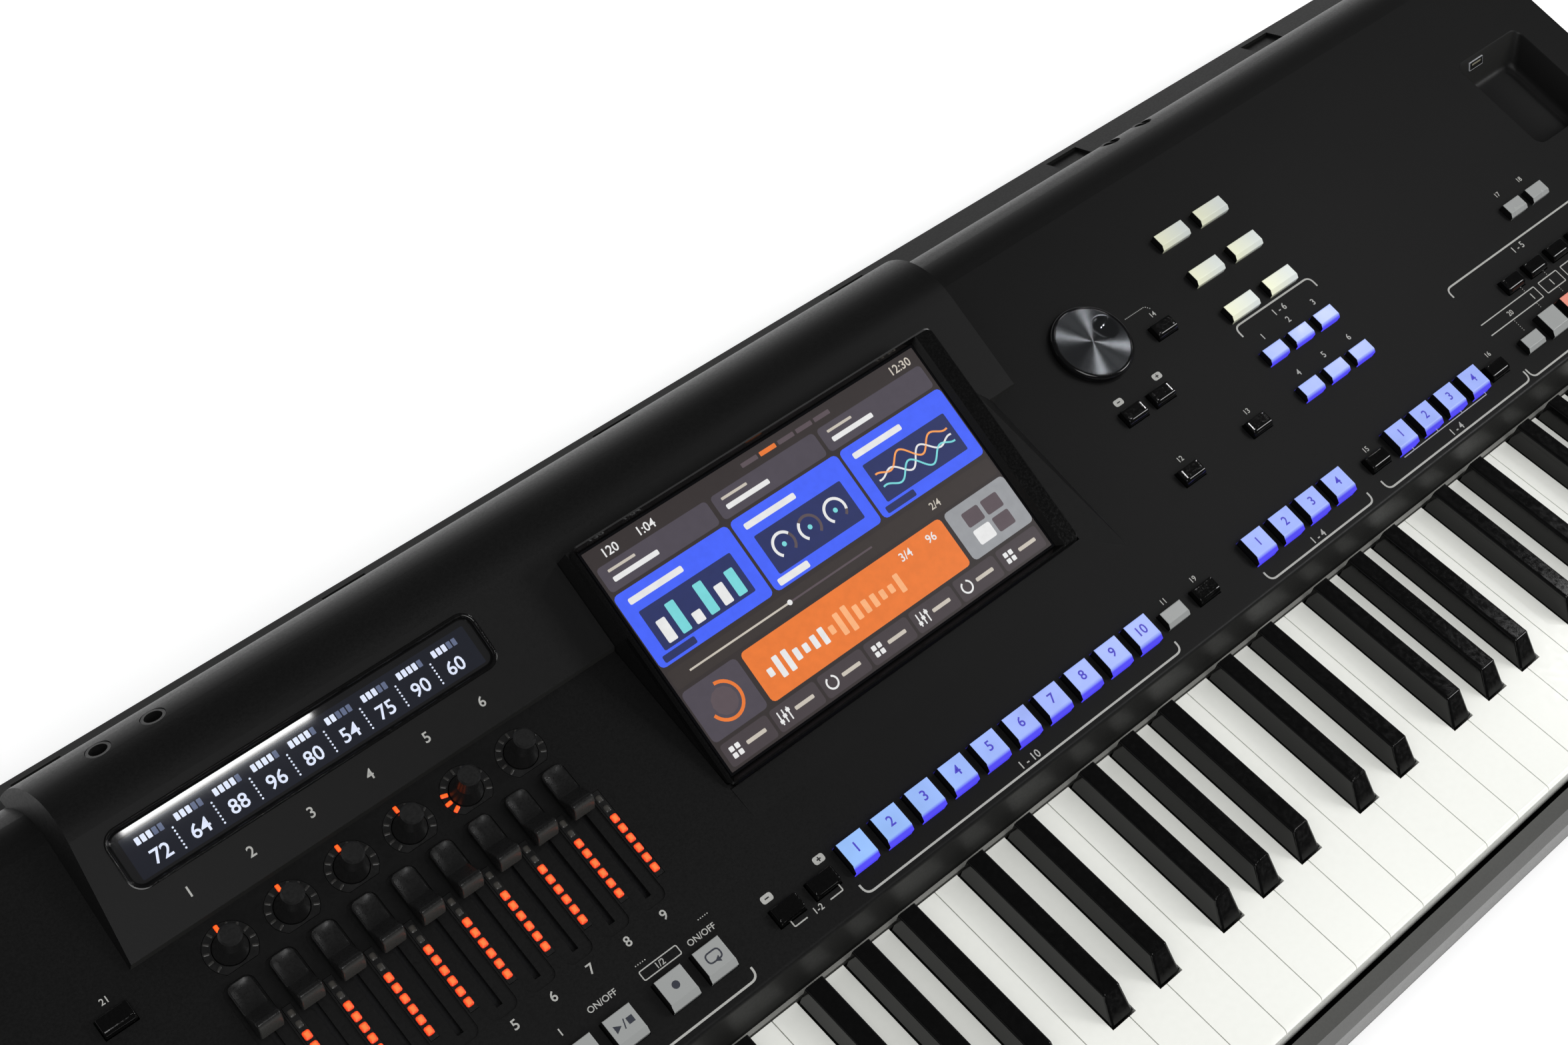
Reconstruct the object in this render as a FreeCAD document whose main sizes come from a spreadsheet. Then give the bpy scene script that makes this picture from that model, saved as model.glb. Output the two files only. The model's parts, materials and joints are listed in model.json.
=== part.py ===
import FreeCAD, Part
import math
import os
import Sketcher

# Arranger keyboard: a long flat case with a row of keys in front, a sloping control panel behind them,
# a tilted touch screen in the middle and a live-control display on its left.
# Frame: +X along the keys towards the treble, +Y to the back, +Z up. The origin is on the floor,
# under the middle of the case. Panel places are X along the case and a distance up the slope from the lip.

# Driving dimensions in millimetres and degrees: alias, value, what it is
SIZES = (
    ("overall_length", 1234, "case, end to end"),
    ("overall_depth", 456, "case, front rail to rear wall"),
    ("wall", 3, "moulded shell thickness"),
    ("overrun", 5, "how far a cut runs past what it cuts"),
    ("seat_gap", 0.2, "clearance between fixed pieces"),
    ("run_gap", 0.4, "clearance around a piece that moves"),
    ("foot_height", 8, "rubber foot below the case"),
    ("foot_radius", 14, "rubber foot"),
    ("foot_inset_x", 95, "foot centre from the case end"),
    ("foot_inset_y", 62, "foot centre from the front or back"),
    ("screw_head_radius", 3.5, "case screw"),
    ("screw_head_height", 2, "case screw"),
    ("screw_inset_y", 40, "screw line from the front or back"),
    ("rear_ledge_back_height", 53, "rear ledge at its outer edge"),
    ("rear_ledge_front_height", 67, "rear ledge where the top case stands on it"),
    ("pocket_width", 24, "shallow pocket in the rear ledge"),
    ("pocket_depth", 2, "shallow pocket in the rear ledge"),
    ("pocket_margin", 4, "shallow pocket from the ledge's edges"),
    ("rear_flange_depth", 12, "flange under the top case's rear foot"),
    ("left_end_width", 130, "end moulding with the joystick"),
    ("right_end_width", 46.5, "end moulding beside the top keys"),
    ("end_skin", 4, "outer plate of an end moulding"),
    ("end_height", 79, "top of the end blocks"),
    ("end_front_round", 8, "front top edge of the end blocks"),
    ("rail_height", 52, "top of the front rail"),
    ("rail_depth", 11, "top of the front rail, front to back"),
    ("rail_bevel_depth", 4, "front rail bevel"),
    ("rail_bevel_height", 9, "front rail bevel"),
    ("white_gap", 0.5, "between neighbouring white keys"),
    ("white_length", 141.5, "front edge to visible back edge"),
    ("white_height", 22, "front skirt of a white key"),
    ("white_skin", 2.5, "wall of a white key"),
    ("white_nose_round", 2.5, "front top edge of a white key"),
    ("key_front_setback", 14, "key fronts behind the case front"),
    ("key_top_height", 67, "white key tops above the floor"),
    ("tail_drop", 7, "top of a key tail below the white key tops"),
    ("tail_height", 10, "key tail under the panel"),
    ("tail_width_share", 0.383, "key tail under the panel, of the white key spacing"),
    ("pivot_setback", 198, "key pivot behind the key fronts"),
    ("tail_overhang", 8, "key tail behind its pivot"),
    ("pivot_gap", 0.3, "tail above the hinge rail"),
    ("key_dip", 10, "travel of a white key at its front"),
    ("black_width_share", 0.549, "black key at its base, of the white key spacing"),
    ("black_top_width_share", 0.4085, "black key at its top, of the white key spacing"),
    ("black_rise", 12, "black key above the white keys"),
    ("black_depth", 13, "black key below the white key tops"),
    ("black_front_setback", 49, "front of a black key behind the white key fronts"),
    ("black_slope", 9.5, "slope of a black key's front"),
    ("black_back_setback", 140, "visible back end of a black key"),
    ("black_round", 1.4, "top edges of a black key"),
    ("black_offset_share", 0.1277, "black key aside of the white keys' joint, of the white key spacing"),
    ("black_gap", 0.6, "between a black key and the white keys beside it"),
    ("black_front_gap", 1.2, "in front of a black key"),
    ("frame_sheet", 2, "key frame sheet"),
    ("frame_front_setback", 12, "key frame behind the key fronts"),
    ("stop_setback", 30, "key stop behind the key fronts"),
    ("stop_depth", 16, "key stop, front to back"),
    ("felt_thickness", 4, "felt on the key stop"),
    ("strip_depth", 1.8, "felt strip behind the white keys"),
    ("strip_height", 4.5, "felt strip behind the white keys"),
    ("strip_drop", 1, "felt strip below the white key tops"),
    ("lip_setback", 150, "panel lip behind the key fronts"),
    ("lip_height", 84, "panel lip above the floor"),
    ("lip_round", 2.4, "edge of the panel lip"),
    ("fascia_lean", 5.5, "foot of the fascia in front of the lip"),
    ("fascia_foot_height", 63.5, "foot of the fascia above the floor"),
    ("panel_angle", 10, "slope of the control panel"),
    ("panel_run", 214, "flat part of the panel, measured level"),
    ("roll_radius", 32, "rear roll-off of the panel"),
    ("roll_end_angle", 75, "slope where the roll-off ends"),
    ("hood_setback", 152, "hood front behind the panel lip"),
    ("hood_step", 3.2, "front step of the hood"),
    ("hood_angle", 23, "slope of the hood's face"),
    ("hood_crest_radius", 36, "crest of the hood"),
    ("hood_rear_cover", 2.2, "hood thickness over the rear wall"),
    ("hood_end_lean", 9, "slope of the hood's left end, measured level"),
    ("oled_depth", 26, "live display window up the hood's face"),
    ("oled_start", 22, "live display window from the hood's front"),
    ("oled_round", 6, "corner of the live display window"),
    ("oled_sink", 1.6, "live display glass below the hood's face"),
    ("oled_glass", 1.4, "live display glass thickness"),
    ("oled_module_depth", 4, "live display module thickness"),
    ("screen_back", 130.5, "screen middle behind the panel lip"),
    ("screen_height", 121, "screen middle above the floor"),
    ("screen_angle", 23.4, "slope of the screen"),
    ("screen_width", 198, "lit area"),
    ("screen_tall", 113.6, "lit area up its slope"),
    ("glass_margin", 1.4, "glass beyond the lit area"),
    ("glass_thickness", 1.3, "screen glass"),
    ("bezel_left", 104, "bezel edge from the screen middle"),
    ("bezel_right", 112.5, "bezel edge from the screen middle"),
    ("bezel_front", 62, "bezel edge from the screen middle"),
    ("bezel_rear", 61, "bezel edge from the screen middle"),
    ("bezel_rise", 3.4, "bezel above the glass"),
    ("bezel_depth", 5, "bezel slab thickness"),
    ("bezel_round", 4, "bezel corner"),
    ("bezel_slope", 2, "slope of the bezel's inner edge"),
    ("housing_depth", 24, "screen housing below the bezel"),
    ("module_thickness", 7, "screen module below its glass"),
    ("skirt_front_run", 16, "skirt in front of the bezel"),
    ("skirt_side_run", 18, "skirt beside the bezel on the right"),
    ("skirt_rise", 1, "top of the skirt against the bezel, above the glass"),
    ("usb_inset", 27, "recess from the right end"),
    ("usb_width", 57, "recess in the panel"),
    ("usb_start", 103, "recess from the lip"),
    ("usb_run", 66, "recess up the slope"),
    ("usb_depth", 17, "recess below the panel"),
    ("usb_round", 6, "recess corner"),
    ("socket_inset", 14.2, "flat socket's middle from the recess's left side"),
    ("socket_width", 14, "flat socket in the recess"),
    ("socket_height", 6.5, "flat socket in the recess"),
    ("socket_length", 16, "flat socket in the recess"),
    ("socket_slot_width", 12, "mouth of the flat socket"),
    ("socket_slot_height", 4.6, "mouth of the flat socket"),
    ("socket_slot_length", 11, "mouth of the flat socket"),
    ("button_travel", 1, "how far a button goes down"),
    ("button_stem", 5.5, "button below the panel face"),
    ("button_round", 0.5, "top edges of a button"),
    ("button_front_share", 0.5, "foot of a button's front slope, of its height"),
    ("square_width", 14, "large square button"),
    ("square_depth", 14.5, "large square button"),
    ("square_height", 4.6, "large square button"),
    ("square_slope", 3, "front slope of a large button"),
    ("slim_width", 14, "slim button"),
    ("slim_depth", 8.5, "slim button"),
    ("slim_height", 3.6, "slim button"),
    ("slim_slope", 2, "front slope of a slim button"),
    ("wide_width", 21, "wide button"),
    ("wide_depth", 9, "wide button"),
    ("wide_height", 3.8, "wide button"),
    ("wide_slope", 2.2, "front slope of a wide button"),
    ("front_row", 20.3, "front button row from the lip"),
    ("slim_row", 18.5, "slim buttons of the front row from the lip"),
    ("assignable_low_row", 67.3, "from the lip"),
    ("assignable_high_row", 93, "from the lip"),
    ("gate_row", 123, "lowest row from the lip"),
    ("gate_row_pitch", 26, "spacing of the rows"),
    ("harmony_row", 82.4, "from the lip"),
    ("voice_row", 49.8, "from the lip"),
    ("step_row", 108.7, "from the lip"),
    ("enter_row", 136.6, "from the lip"),
    ("exit_row", 68.2, "from the lip"),
    ("assign_high_row", 140.5, "from the lip"),
    ("assign_low_row", 88, "from the lip"),
    ("stand_by_inset", 51, "stand-by button from the left end"),
    ("stand_by_row", 172, "from the lip"),
    ("slider_far", 108, "slider at the far end of its travel, from the lip"),
    ("slider_travel", 45, "slider travel"),
    ("slider_slot_width", 3, "slot in the panel"),
    ("slider_stem_width", 1.6, "stem in the slot"),
    ("slider_stem_run", 9, "stem along the slot"),
    ("cap_width", 11, "slider cap"),
    ("cap_front_reach", 7, "front of the slider cap from its stem"),
    ("cap_rear_reach", 18, "rear of the slider cap from its stem"),
    ("cap_float", 1.6, "slider cap above the panel"),
    ("cap_height", 11.1, "ridge of the slider cap above the panel"),
    ("cap_nose_lean", 3.9, "ridge of the slider cap behind its front"),
    ("cap_nose_height", 3.4, "foot of the slider cap's leaning front"),
    ("cap_pad_height", 4.4, "rear pad of the slider cap above the panel"),
    ("cap_pad_run", 13.4, "rear pad of the slider cap along its travel"),
    ("cap_corner", 2, "rear corners of the slider cap"),
    ("cap_round", 0.8, "ridge and foot edge of the slider cap"),
    ("channel_start", 53.4, "shallow channel round a slider, from the lip"),
    ("channel_run", 74, "shallow channel round a slider, up the slope"),
    ("channel_width", 14, "shallow channel round a slider"),
    ("channel_depth", 0.7, "shallow channel round a slider"),
    ("channel_round", 4, "corners of a slider's channel"),
    ("track_drop", 7, "slider track below the panel face"),
    ("track_depth", 9, "slider track height"),
    ("track_width", 9, "slider track"),
    ("lamp_width", 4, "lamp strip"),
    ("lamp_start", 62.5, "lamp strip from the lip"),
    ("lamp_run", 45, "lamp strip up the slope"),
    ("knob_row", 139.5, "knobs from the lip"),
    ("knob_radius", 4.8, "knob at its top"),
    ("knob_foot_radius", 7.2, "knob at its foot"),
    ("knob_height", 16, "knob above the panel"),
    ("knob_flare", 6.5, "top of the knob's flared foot"),
    ("knob_edge", 0.8, "bevel of the knob's top"),
    ("ring_radius_share", 0.3883, "lamp ring of a knob, of the knob spacing"),
    ("ring_land", 1, "lamp ring in front of its knob"),
    ("shaft_radius", 3, "shaft of a knob or dial"),
    ("pot_width", 13, "rotary control under the panel"),
    ("pot_drop", 8, "rotary control below the panel face"),
    ("pot_depth", 7, "rotary control height"),
    ("dial_row", 150.4, "data dial from the lip"),
    ("dial_radius", 22, "data dial at its foot"),
    ("dial_top_radius", 20, "data dial at its top"),
    ("dial_height", 4.2, "data dial above the panel"),
    ("dial_flare", 1.6, "top of the data dial's upright rim"),
    ("dial_float", 0.6, "data dial's foot above the panel"),
    ("dial_dish", 0.3, "finger face of the data dial below its edge"),
    ("dimple_radius", 5.2, "finger dimple of the data dial"),
    ("dimple_reach", 12.5, "finger dimple from the dial's axis"),
    ("dimple_depth", 1.4, "finger dimple"),
    ("volume_inset", 51, "master volume dial from the left end"),
    ("volume_row", 112, "master volume dial from the lip"),
    ("volume_radius", 17, "master volume dial"),
    ("volume_top_radius", 15.4, "master volume dial at its top"),
    ("volume_height", 13, "master volume dial above the panel"),
    ("volume_flare", 4.5, "top of the master volume dial's upright rim"),
    ("stick_inset", 65, "joystick from the left end"),
    ("stick_setback", 82, "joystick behind the key fronts"),
    ("stick_ball_radius", 17, "joystick dome"),
    ("stick_sink", 13, "joystick pivot below the end block's top"),
    ("stick_radius", 4.2, "joystick shaft"),
    ("stick_tall", 46, "joystick top above its pivot"),
    ("stick_grip_radius", 6.5, "joystick grip"),
    ("stick_grip_tall", 16, "joystick grip"),
    ("yoke_thickness", 3, "gimbal ring"),
    ("yoke_tall", 6, "gimbal ring"),
    ("yoke_pin_radius", 1.5, "gimbal pin"),
    ("yoke_pin_length", 4, "gimbal pin"),
    ("pin_gap", 0.1, "gimbal pin in its bearing"),
    ("yoke_room", 1, "between dome and gimbal ring"),
    ("board_thickness", 1.6, "circuit board"),
    ("board_drop", 7.4, "switch boards below the panel face"),
    ("board_margin", 5, "switch boards beyond their buttons"),
    ("peg_radius", 2, "board pegs"),
    ("main_board_length", 320, "main circuit board"),
    ("main_board_gap", 49, "main circuit board behind the key frame"),
    ("main_board_lift", 8, "main circuit board above the case floor"),
    ("main_board_setback", 20, "main circuit board from the rear wall"),
    ("supply_length", 150, "power supply"),
    ("supply_width", 80, "power supply"),
    ("supply_height", 34, "power supply"),
    ("supply_setback", 24, "power supply from the rear wall"),
    ("jack_height", 32, "audio jacks above the floor"),
    ("jack_bore_radius", 3.25, "bore for a 6.35 mm plug"),
    ("jack_bore_length", 18, "bore for a 6.35 mm plug"),
    ("jack_collar_radius", 5.5, "jack collar in the rear wall"),
    ("jack_body_width", 14, "jack body"),
    ("jack_body_length", 24, "jack body behind the wall"),
    ("inlet_width", 27, "power inlet"),
    ("inlet_height", 19, "power inlet"),
    ("inlet_length", 14, "power inlet behind the wall"),
    ("inlet_pocket_width", 20, "mouth of the power inlet"),
    ("inlet_pocket_height", 12, "mouth of the power inlet"),
    ("inlet_pocket_length", 11, "mouth of the power inlet"),
    ("rest_pitch", 25.2, "music rest holes of a pair"),
    ("rest_bore_radius", 4, "music rest hole"),
    ("rest_collar_radius", 5.4, "music rest socket"),
    ("rest_bore_length", 22, "music rest socket"),
    ("rest_lean", 28, "music rest hole, backwards from upright, in degrees"),
    ("rest_arc_share", 0.62, "music rest hole along the roll-off"),
)

# Places and spacings along the case as shares of its overall length: alias, share, what it is
PLACES = (
    ("hood_left_share", -0.266207, "left end of the display hood"),
    ("hood_right_share", 0.129660, "right end of the display hood"),
    ("oled_left_share", -0.252026, "live display window"),
    ("oled_width_share", 0.142626, "live display window"),
    ("screen_x_share", 0.012480, "screen middle"),
    ("button_pitch_share", 0.016207, "spacing of the buttons in a row"),
    ("registration_x_share", -0.051540, "first of its row"),
    ("one_touch_x_share", 0.161507, "first of its row"),
    ("pad_x_share", 0.250810, "first of its row"),
    ("assignable_x_share", 0.235981, "first of its row"),
    ("gate_x_share", 0.240438, "first of its row"),
    ("gate_pitch_share", 0.024311, "spacing along a row"),
    ("style_x_share", -0.388979, "first of its row"),
    ("sync_x_share", -0.170178, "first of a pair"),
    ("record_x_share", -0.132334, "first of a pair"),
    ("part_x_share", 0.356159, "first of its row"),
    ("part_small_x_share", 0.339951, "single button"),
    ("harmony_x_share", 0.390519, "first of a pair"),
    ("freeze_x_share", 0.111021, "single button"),
    ("bank_x_share", -0.084603, "first of a pair"),
    ("memory_x_share", 0.129092, "single button"),
    ("select_x_share", 0.234279, "single button"),
    ("stop_x_share", 0.314749, "single button"),
    ("voice_x_share", 0.356969, "first of its row"),
    ("step_x_share", 0.163047, "first of a pair"),
    ("enter_x_share", 0.203728, "single button"),
    ("assign_x_share", -0.278201, "knob and slider assign buttons"),
    ("slider_x_share", -0.242869, "first slider"),
    ("slider_pitch_share", 0.015454, "slider spacing"),
    ("lamp_offset_share", 0.008104, "lamp strip beside its slider"),
    ("knob_x_share", -0.237763, "first knob"),
    ("knob_pitch_share", 0.023063, "knob spacing"),
    ("dial_x_share", 0.171556, "data dial"),
    ("main_board_x_share", 0.186386, "main circuit board's middle"),
    ("supply_x_share", -0.340357, "power supply's middle"),
    ("jack_x_share", -0.145867, "first audio jack"),
    ("jack_pitch_share", 0.021070, "audio jack spacing"),
    ("inlet_x_share", -0.340357, "power inlet"),
    ("host_x_share", 0.202593, "first rear data socket"),
    ("host_pitch_share", 0.021070, "rear data socket spacing"),
    ("rest_x_share", -0.225284, "first pair of music rest holes, middle"),
    ("rest_far_x_share", 0.274716, "second pair of music rest holes, middle"),
)
POCKET_SHARES = (-0.2439, -0.1135, 0.0174, 0.148, 0.2844, 0.4222)

WHITE_KEYS = 45
SLIDERS = 9
KNOBS = 6
JACKS = 6
HOSTS = 2
SCREWS_PER_LINE = 7

doc = FreeCAD.newDocument("ArrangerKeyboard")
sheet = doc.addObject("Spreadsheet::Sheet", "Sizes")
for row, (alias, value, note) in enumerate(SIZES + PLACES, start=1):
    sheet.set(f"A{row}", note)
    sheet.set(f"B{row}", str(value))
    sheet.setAlias(f"B{row}", alias)
doc.recompute()


class Sizes:
    """Reads the sheet's cells by their alias."""

    def __getattr__(self, alias):
        return float(sheet.get(alias))


class Places:
    """Reads a place or spacing along the case by its short name: its share of the overall length."""

    def __getattr__(self, name):
        return float(sheet.get(name + "_share")) * d.overall_length


d = Sizes()
at = Places()
V = FreeCAD.Vector
X_AXIS = V(1, 0, 0)
Y_AXIS = V(0, 1, 0)
Z_AXIS = V(0, 0, 1)

# Places worked out from the driving dimensions
left_x = -d.overall_length / 2
right_x = d.overall_length / 2
front_y = -d.overall_depth / 2
rear_y = d.overall_depth / 2
floor_z = d.foot_height + d.wall
key_left_x = left_x + d.left_end_width
key_right_x = right_x - d.right_end_width
white_pitch = (key_right_x - key_left_x) / WHITE_KEYS
black_width = d.black_width_share * white_pitch
black_top_width = d.black_top_width_share * white_pitch
black_offset = d.black_offset_share * white_pitch
tail_width = d.tail_width_share * white_pitch
key_front_y = front_y + d.key_front_setback
pivot_y = key_front_y + d.pivot_setback
tail_top_z = d.key_top_height - d.tail_drop
tail_foot_z = tail_top_z - d.tail_height
lip_y = key_front_y + d.lip_setback
slope = math.radians(d.panel_angle)
roll_end = math.radians(d.roll_end_angle)
fascia_foot = V(0, lip_y - d.fascia_lean, d.fascia_foot_height)
lip = V(0, lip_y, d.lip_height)
roll_start = lip + V(0, d.panel_run, d.panel_run * math.tan(slope))
roll_centre = roll_start + V(0, math.sin(slope), -math.cos(slope)) * d.roll_radius


def on_roll(radius, angle):
    """A point of the roll-off's circle: angle 0 is its top, positive towards the rear."""
    return roll_centre + V(0, math.sin(angle), math.cos(angle)) * radius


roll_finish = on_roll(d.roll_radius, roll_end)
rear_foot_drop = roll_finish.z - d.rear_ledge_front_height
rear_foot = roll_finish + V(0, rear_foot_drop / math.tan(roll_end), -rear_foot_drop)
shell_left = left_x + d.end_skin
shell_right = right_x - d.end_skin

panel_place = FreeCAD.Placement(lip, FreeCAD.Rotation(X_AXIS, d.panel_angle))
hood_front = V(0, lip_y + d.hood_setback, d.lip_height + d.hood_setback * math.tan(slope))
hood_origin = hood_front + V(0, 0, d.hood_step)
hood_place = FreeCAD.Placement(hood_origin, FreeCAD.Rotation(X_AXIS, d.hood_angle))
screen_middle = V(at.screen_x, lip_y + d.screen_back, d.screen_height)
screen_place = FreeCAD.Placement(screen_middle, FreeCAD.Rotation(X_AXIS, d.screen_angle))
parts = []


def keep(label, obj):
    """Names a finished sub-part and puts it on the list to export."""
    obj.Label = label
    parts.append(obj)
    return obj


def feature(label, shape, place=None):
    """A sub-part whose shape is worked out here from the sheet's sizes."""
    obj = doc.addObject("Part::Feature", label)
    obj.Shape = shape
    if place:
        obj.Placement = place
    return keep(label, obj)


def block(x_from, x_to, y_from, y_to, z_from, z_to):
    """A box between two corners."""
    return Part.makeBox(x_to - x_from, y_to - y_from, z_to - z_from, V(x_from, y_from, z_from))


def middle_block(x, y, width, depth, z_from, z_to):
    """A box given by its middle in plan."""
    return block(x - width / 2, x + width / 2, y - depth / 2, y + depth / 2, z_from, z_to)


def rod(radius, length, start, direction=Z_AXIS):
    """A cylinder from a start point along a direction."""
    return Part.makeCylinder(radius, length, start, direction)


def prism(points, x_from, x_to):
    """A closed outline in the Y-Z plane carried along X."""
    corners = [V(x_from, p.y, p.z) for p in points]
    face = Part.Face(Part.makePolygon(corners + corners[:1]))
    return face.extrude(V(x_to - x_from, 0, 0))


def wire_prism(edges, x_from, x_to):
    """A closed run of edges in the plane X = 0 carried along X."""
    face = Part.Face(Part.Wire(edges))
    face.translate(V(x_from, 0, 0))
    return face.extrude(V(x_to - x_from, 0, 0))


def rounded_plate(x, y, width, depth, radius, z_from, z_to):
    """A box with rounded upright corners, given by its middle in plan."""
    body = middle_block(x, y, width, depth, z_from, z_to)
    upright = [e for e in body.Edges if abs(e.tangentAt(e.FirstParameter).z) > math.cos(slope)]
    return body.makeFillet(radius, upright)


def long_edges(shape, test):
    """The straight edges along X whose middle passes a test."""
    return [e for e in shape.Edges
            if isinstance(e.Curve, Part.Line) and abs(e.tangentAt(e.FirstParameter).x) > math.cos(slope)
            and test(e.CenterOfMass)]


def all_of(shapes):
    return Part.makeCompound(shapes)


def case_edges(depth):
    """The top case's outline, taken in by a depth: fascia, panel, roll-off and rear wall."""
    fascia_way = (lip - fascia_foot).normalize()
    fascia_in = V(0, -fascia_way.z, fascia_way.y) * -depth
    panel_way = V(0, math.cos(slope), math.sin(slope))
    panel_in = V(0, math.sin(slope), -math.cos(slope)) * depth
    lip_base = lip + panel_in
    foot_base = fascia_foot + fascia_in
    reach = ((lip_base - foot_base).dot(V(0, -panel_way.z, panel_way.y))
             / fascia_way.dot(V(0, -panel_way.z, panel_way.y)))
    lip_in = foot_base + fascia_way * reach
    foot_in = foot_base + fascia_way * ((fascia_foot.z - foot_base.z) / fascia_way.z)
    radius = d.roll_radius - depth
    start = on_roll(radius, -slope)
    top = on_roll(radius, (roll_end - slope) / 2)
    finish = on_roll(radius, roll_end)
    drop = finish.z - rear_foot.z
    foot_back = finish + V(0, drop / math.tan(roll_end), -drop)
    edges = [Part.LineSegment(foot_in, lip_in).toShape(), Part.LineSegment(lip_in, start).toShape(),
             Part.Arc(start, top, finish).toShape(), Part.LineSegment(finish, foot_back).toShape()]
    return edges, foot_in, foot_back


def case_volume(x_from, x_to, depth):
    """Everything under the top case's outline, down to its feet."""
    edges, foot_in, foot_back = case_edges(depth)
    return wire_prism(edges + [Part.LineSegment(foot_back, foot_in).toShape()], x_from, x_to)


# Buttons: group, kind, row of first X, distance from the lip, spacing and count
BUTTON_KINDS = {
    "square": (d.square_width, d.square_depth, d.square_height, d.square_slope),
    "slim": (d.slim_width, d.slim_depth, d.slim_height, d.slim_slope),
    "wide": (d.wide_width, d.wide_depth, d.wide_height, d.wide_slope),
}
gate_rows = [d.gate_row + n * d.gate_row_pitch for n in range(3)]
BUTTON_ROWS = [
    ("registration_buttons", "square", at.registration_x, d.front_row, at.button_pitch, 10),
    ("pad_buttons", "square", at.one_touch_x, d.front_row, at.button_pitch, 4),
    ("pad_buttons", "square", at.pad_x, d.front_row, at.button_pitch, 4),
    ("assignable_buttons", "slim", at.assignable_x, d.assignable_low_row, at.button_pitch, 3),
    ("assignable_buttons", "slim", at.assignable_x, d.assignable_high_row, at.button_pitch, 3),
    *[("gate_buttons", "wide", at.gate_x, gate_row, at.gate_pitch, 2) for gate_row in gate_rows],
    ("style_buttons", "square", at.style_x, d.front_row, at.button_pitch, 12),
    ("style_buttons", "square", at.sync_x, d.front_row, at.button_pitch, 2),
    ("style_buttons", "square", at.record_x, d.front_row, at.button_pitch, 2),
    ("part_buttons", "square", at.part_x, d.front_row, at.button_pitch, 4),
    ("part_buttons", "slim", at.part_small_x, d.slim_row, at.button_pitch, 1),
    ("part_buttons", "slim", at.harmony_x, d.harmony_row, at.button_pitch, 2),
    ("part_buttons", "slim", at.freeze_x, d.slim_row, at.button_pitch, 1),
    ("utility_buttons", "slim", at.bank_x, d.slim_row, at.button_pitch, 2),
    ("utility_buttons", "slim", at.memory_x, d.slim_row, at.button_pitch, 1),
    ("utility_buttons", "slim", at.select_x, d.slim_row, at.button_pitch, 1),
    ("utility_buttons", "slim", at.stop_x, d.slim_row, at.button_pitch, 1),
    ("utility_buttons", "slim", at.voice_x, d.voice_row, at.button_pitch, 5),
    ("utility_buttons", "slim", at.step_x, d.step_row, at.button_pitch, 2),
    ("utility_buttons", "slim", at.enter_x, d.enter_row, at.button_pitch, 1),
    ("utility_buttons", "slim", at.step_x, d.exit_row, at.button_pitch, 1),
    ("utility_buttons", "slim", at.enter_x, d.exit_row, at.button_pitch, 1),
    ("utility_buttons", "slim", at.assign_x, d.assign_high_row, at.button_pitch, 1),
    ("utility_buttons", "slim", at.assign_x, d.assign_low_row, at.button_pitch, 1),
    ("utility_buttons", "slim", left_x + d.stand_by_inset, d.stand_by_row, at.button_pitch, 1),
]


def button_places():
    """Every button as its group, kind and place on the panel."""
    for group, kind, first, row, pitch, count in BUTTON_ROWS:
        for n in range(count):
            yield group, kind, first + n * pitch, row


def button(kind, x, row):
    """One key cap: a block with a sloped front and eased top edges, standing through the panel."""
    width, depth, height, run = BUTTON_KINDS[kind]
    near = row - depth / 2
    far = row + depth / 2
    side = [V(0, near, -d.button_stem), V(0, far, -d.button_stem), V(0, far, height),
            V(0, near + run, height), V(0, near, height * d.button_front_share)]
    cap = prism(side, x - width / 2, x + width / 2)
    top = [e for e in cap.Edges if e.CenterOfMass.z > height - d.button_round]
    return cap.makeFillet(d.button_round, top)


def slider_x(n):
    return at.slider_x + n * at.slider_pitch


def knob_x(n):
    return at.knob_x + n * at.knob_pitch


ring_radius = d.ring_radius_share * at.knob_pitch
ring_flat = d.knob_foot_radius + d.run_gap + d.ring_land
slider_near = d.slider_far - d.slider_travel
track_run = d.slider_travel + d.slider_stem_run
track_middle = (d.slider_far + slider_near) / 2
dials = [(knob_x(n), d.knob_row) for n in range(KNOBS)]
dials += [(at.dial_x, d.dial_row), (left_x + d.volume_inset, d.volume_row)]


def ring_plate(x, grow, z_from, z_to):
    """The lamp ring's outline: a disc with its front cut flat, grown by a clearance."""
    disc = rod(ring_radius + grow, z_to - z_from, V(x, d.knob_row, z_from))
    flat = d.knob_row - ring_flat - grow
    away = block(x - ring_radius - d.overrun, x + ring_radius + d.overrun,
                 flat - ring_radius, flat, z_from - d.overrun, z_to + d.overrun)
    return disc.cut(away)


def bezel_box(grow, z_from, z_to):
    """The bezel's outline in the screen's own frame."""
    return block(-d.bezel_left - grow, d.bezel_right + grow, -d.bezel_front - grow, d.bezel_rear + grow,
                 z_from, z_to)


def housing_box(grow, z_from, z_to):
    """The outline of the housing under the bezel, in the screen's own frame."""
    return block(-d.bezel_left - grow, d.bezel_left + grow, -d.bezel_front - grow, d.bezel_rear + grow,
                 z_from, z_to)


bezel_under = d.bezel_rise - d.bezel_depth
housing_under = bezel_under - d.housing_depth


def screen_room():
    """The room that the screen takes out of the panel and the hood, with its clearance."""
    room = bezel_box(d.seat_gap, bezel_under - d.seat_gap, d.bezel_rise + d.housing_depth)
    well = housing_box(d.seat_gap, housing_under - d.housing_depth, d.bezel_rise)
    room = room.fuse(well)
    room.Placement = screen_place
    return room


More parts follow.
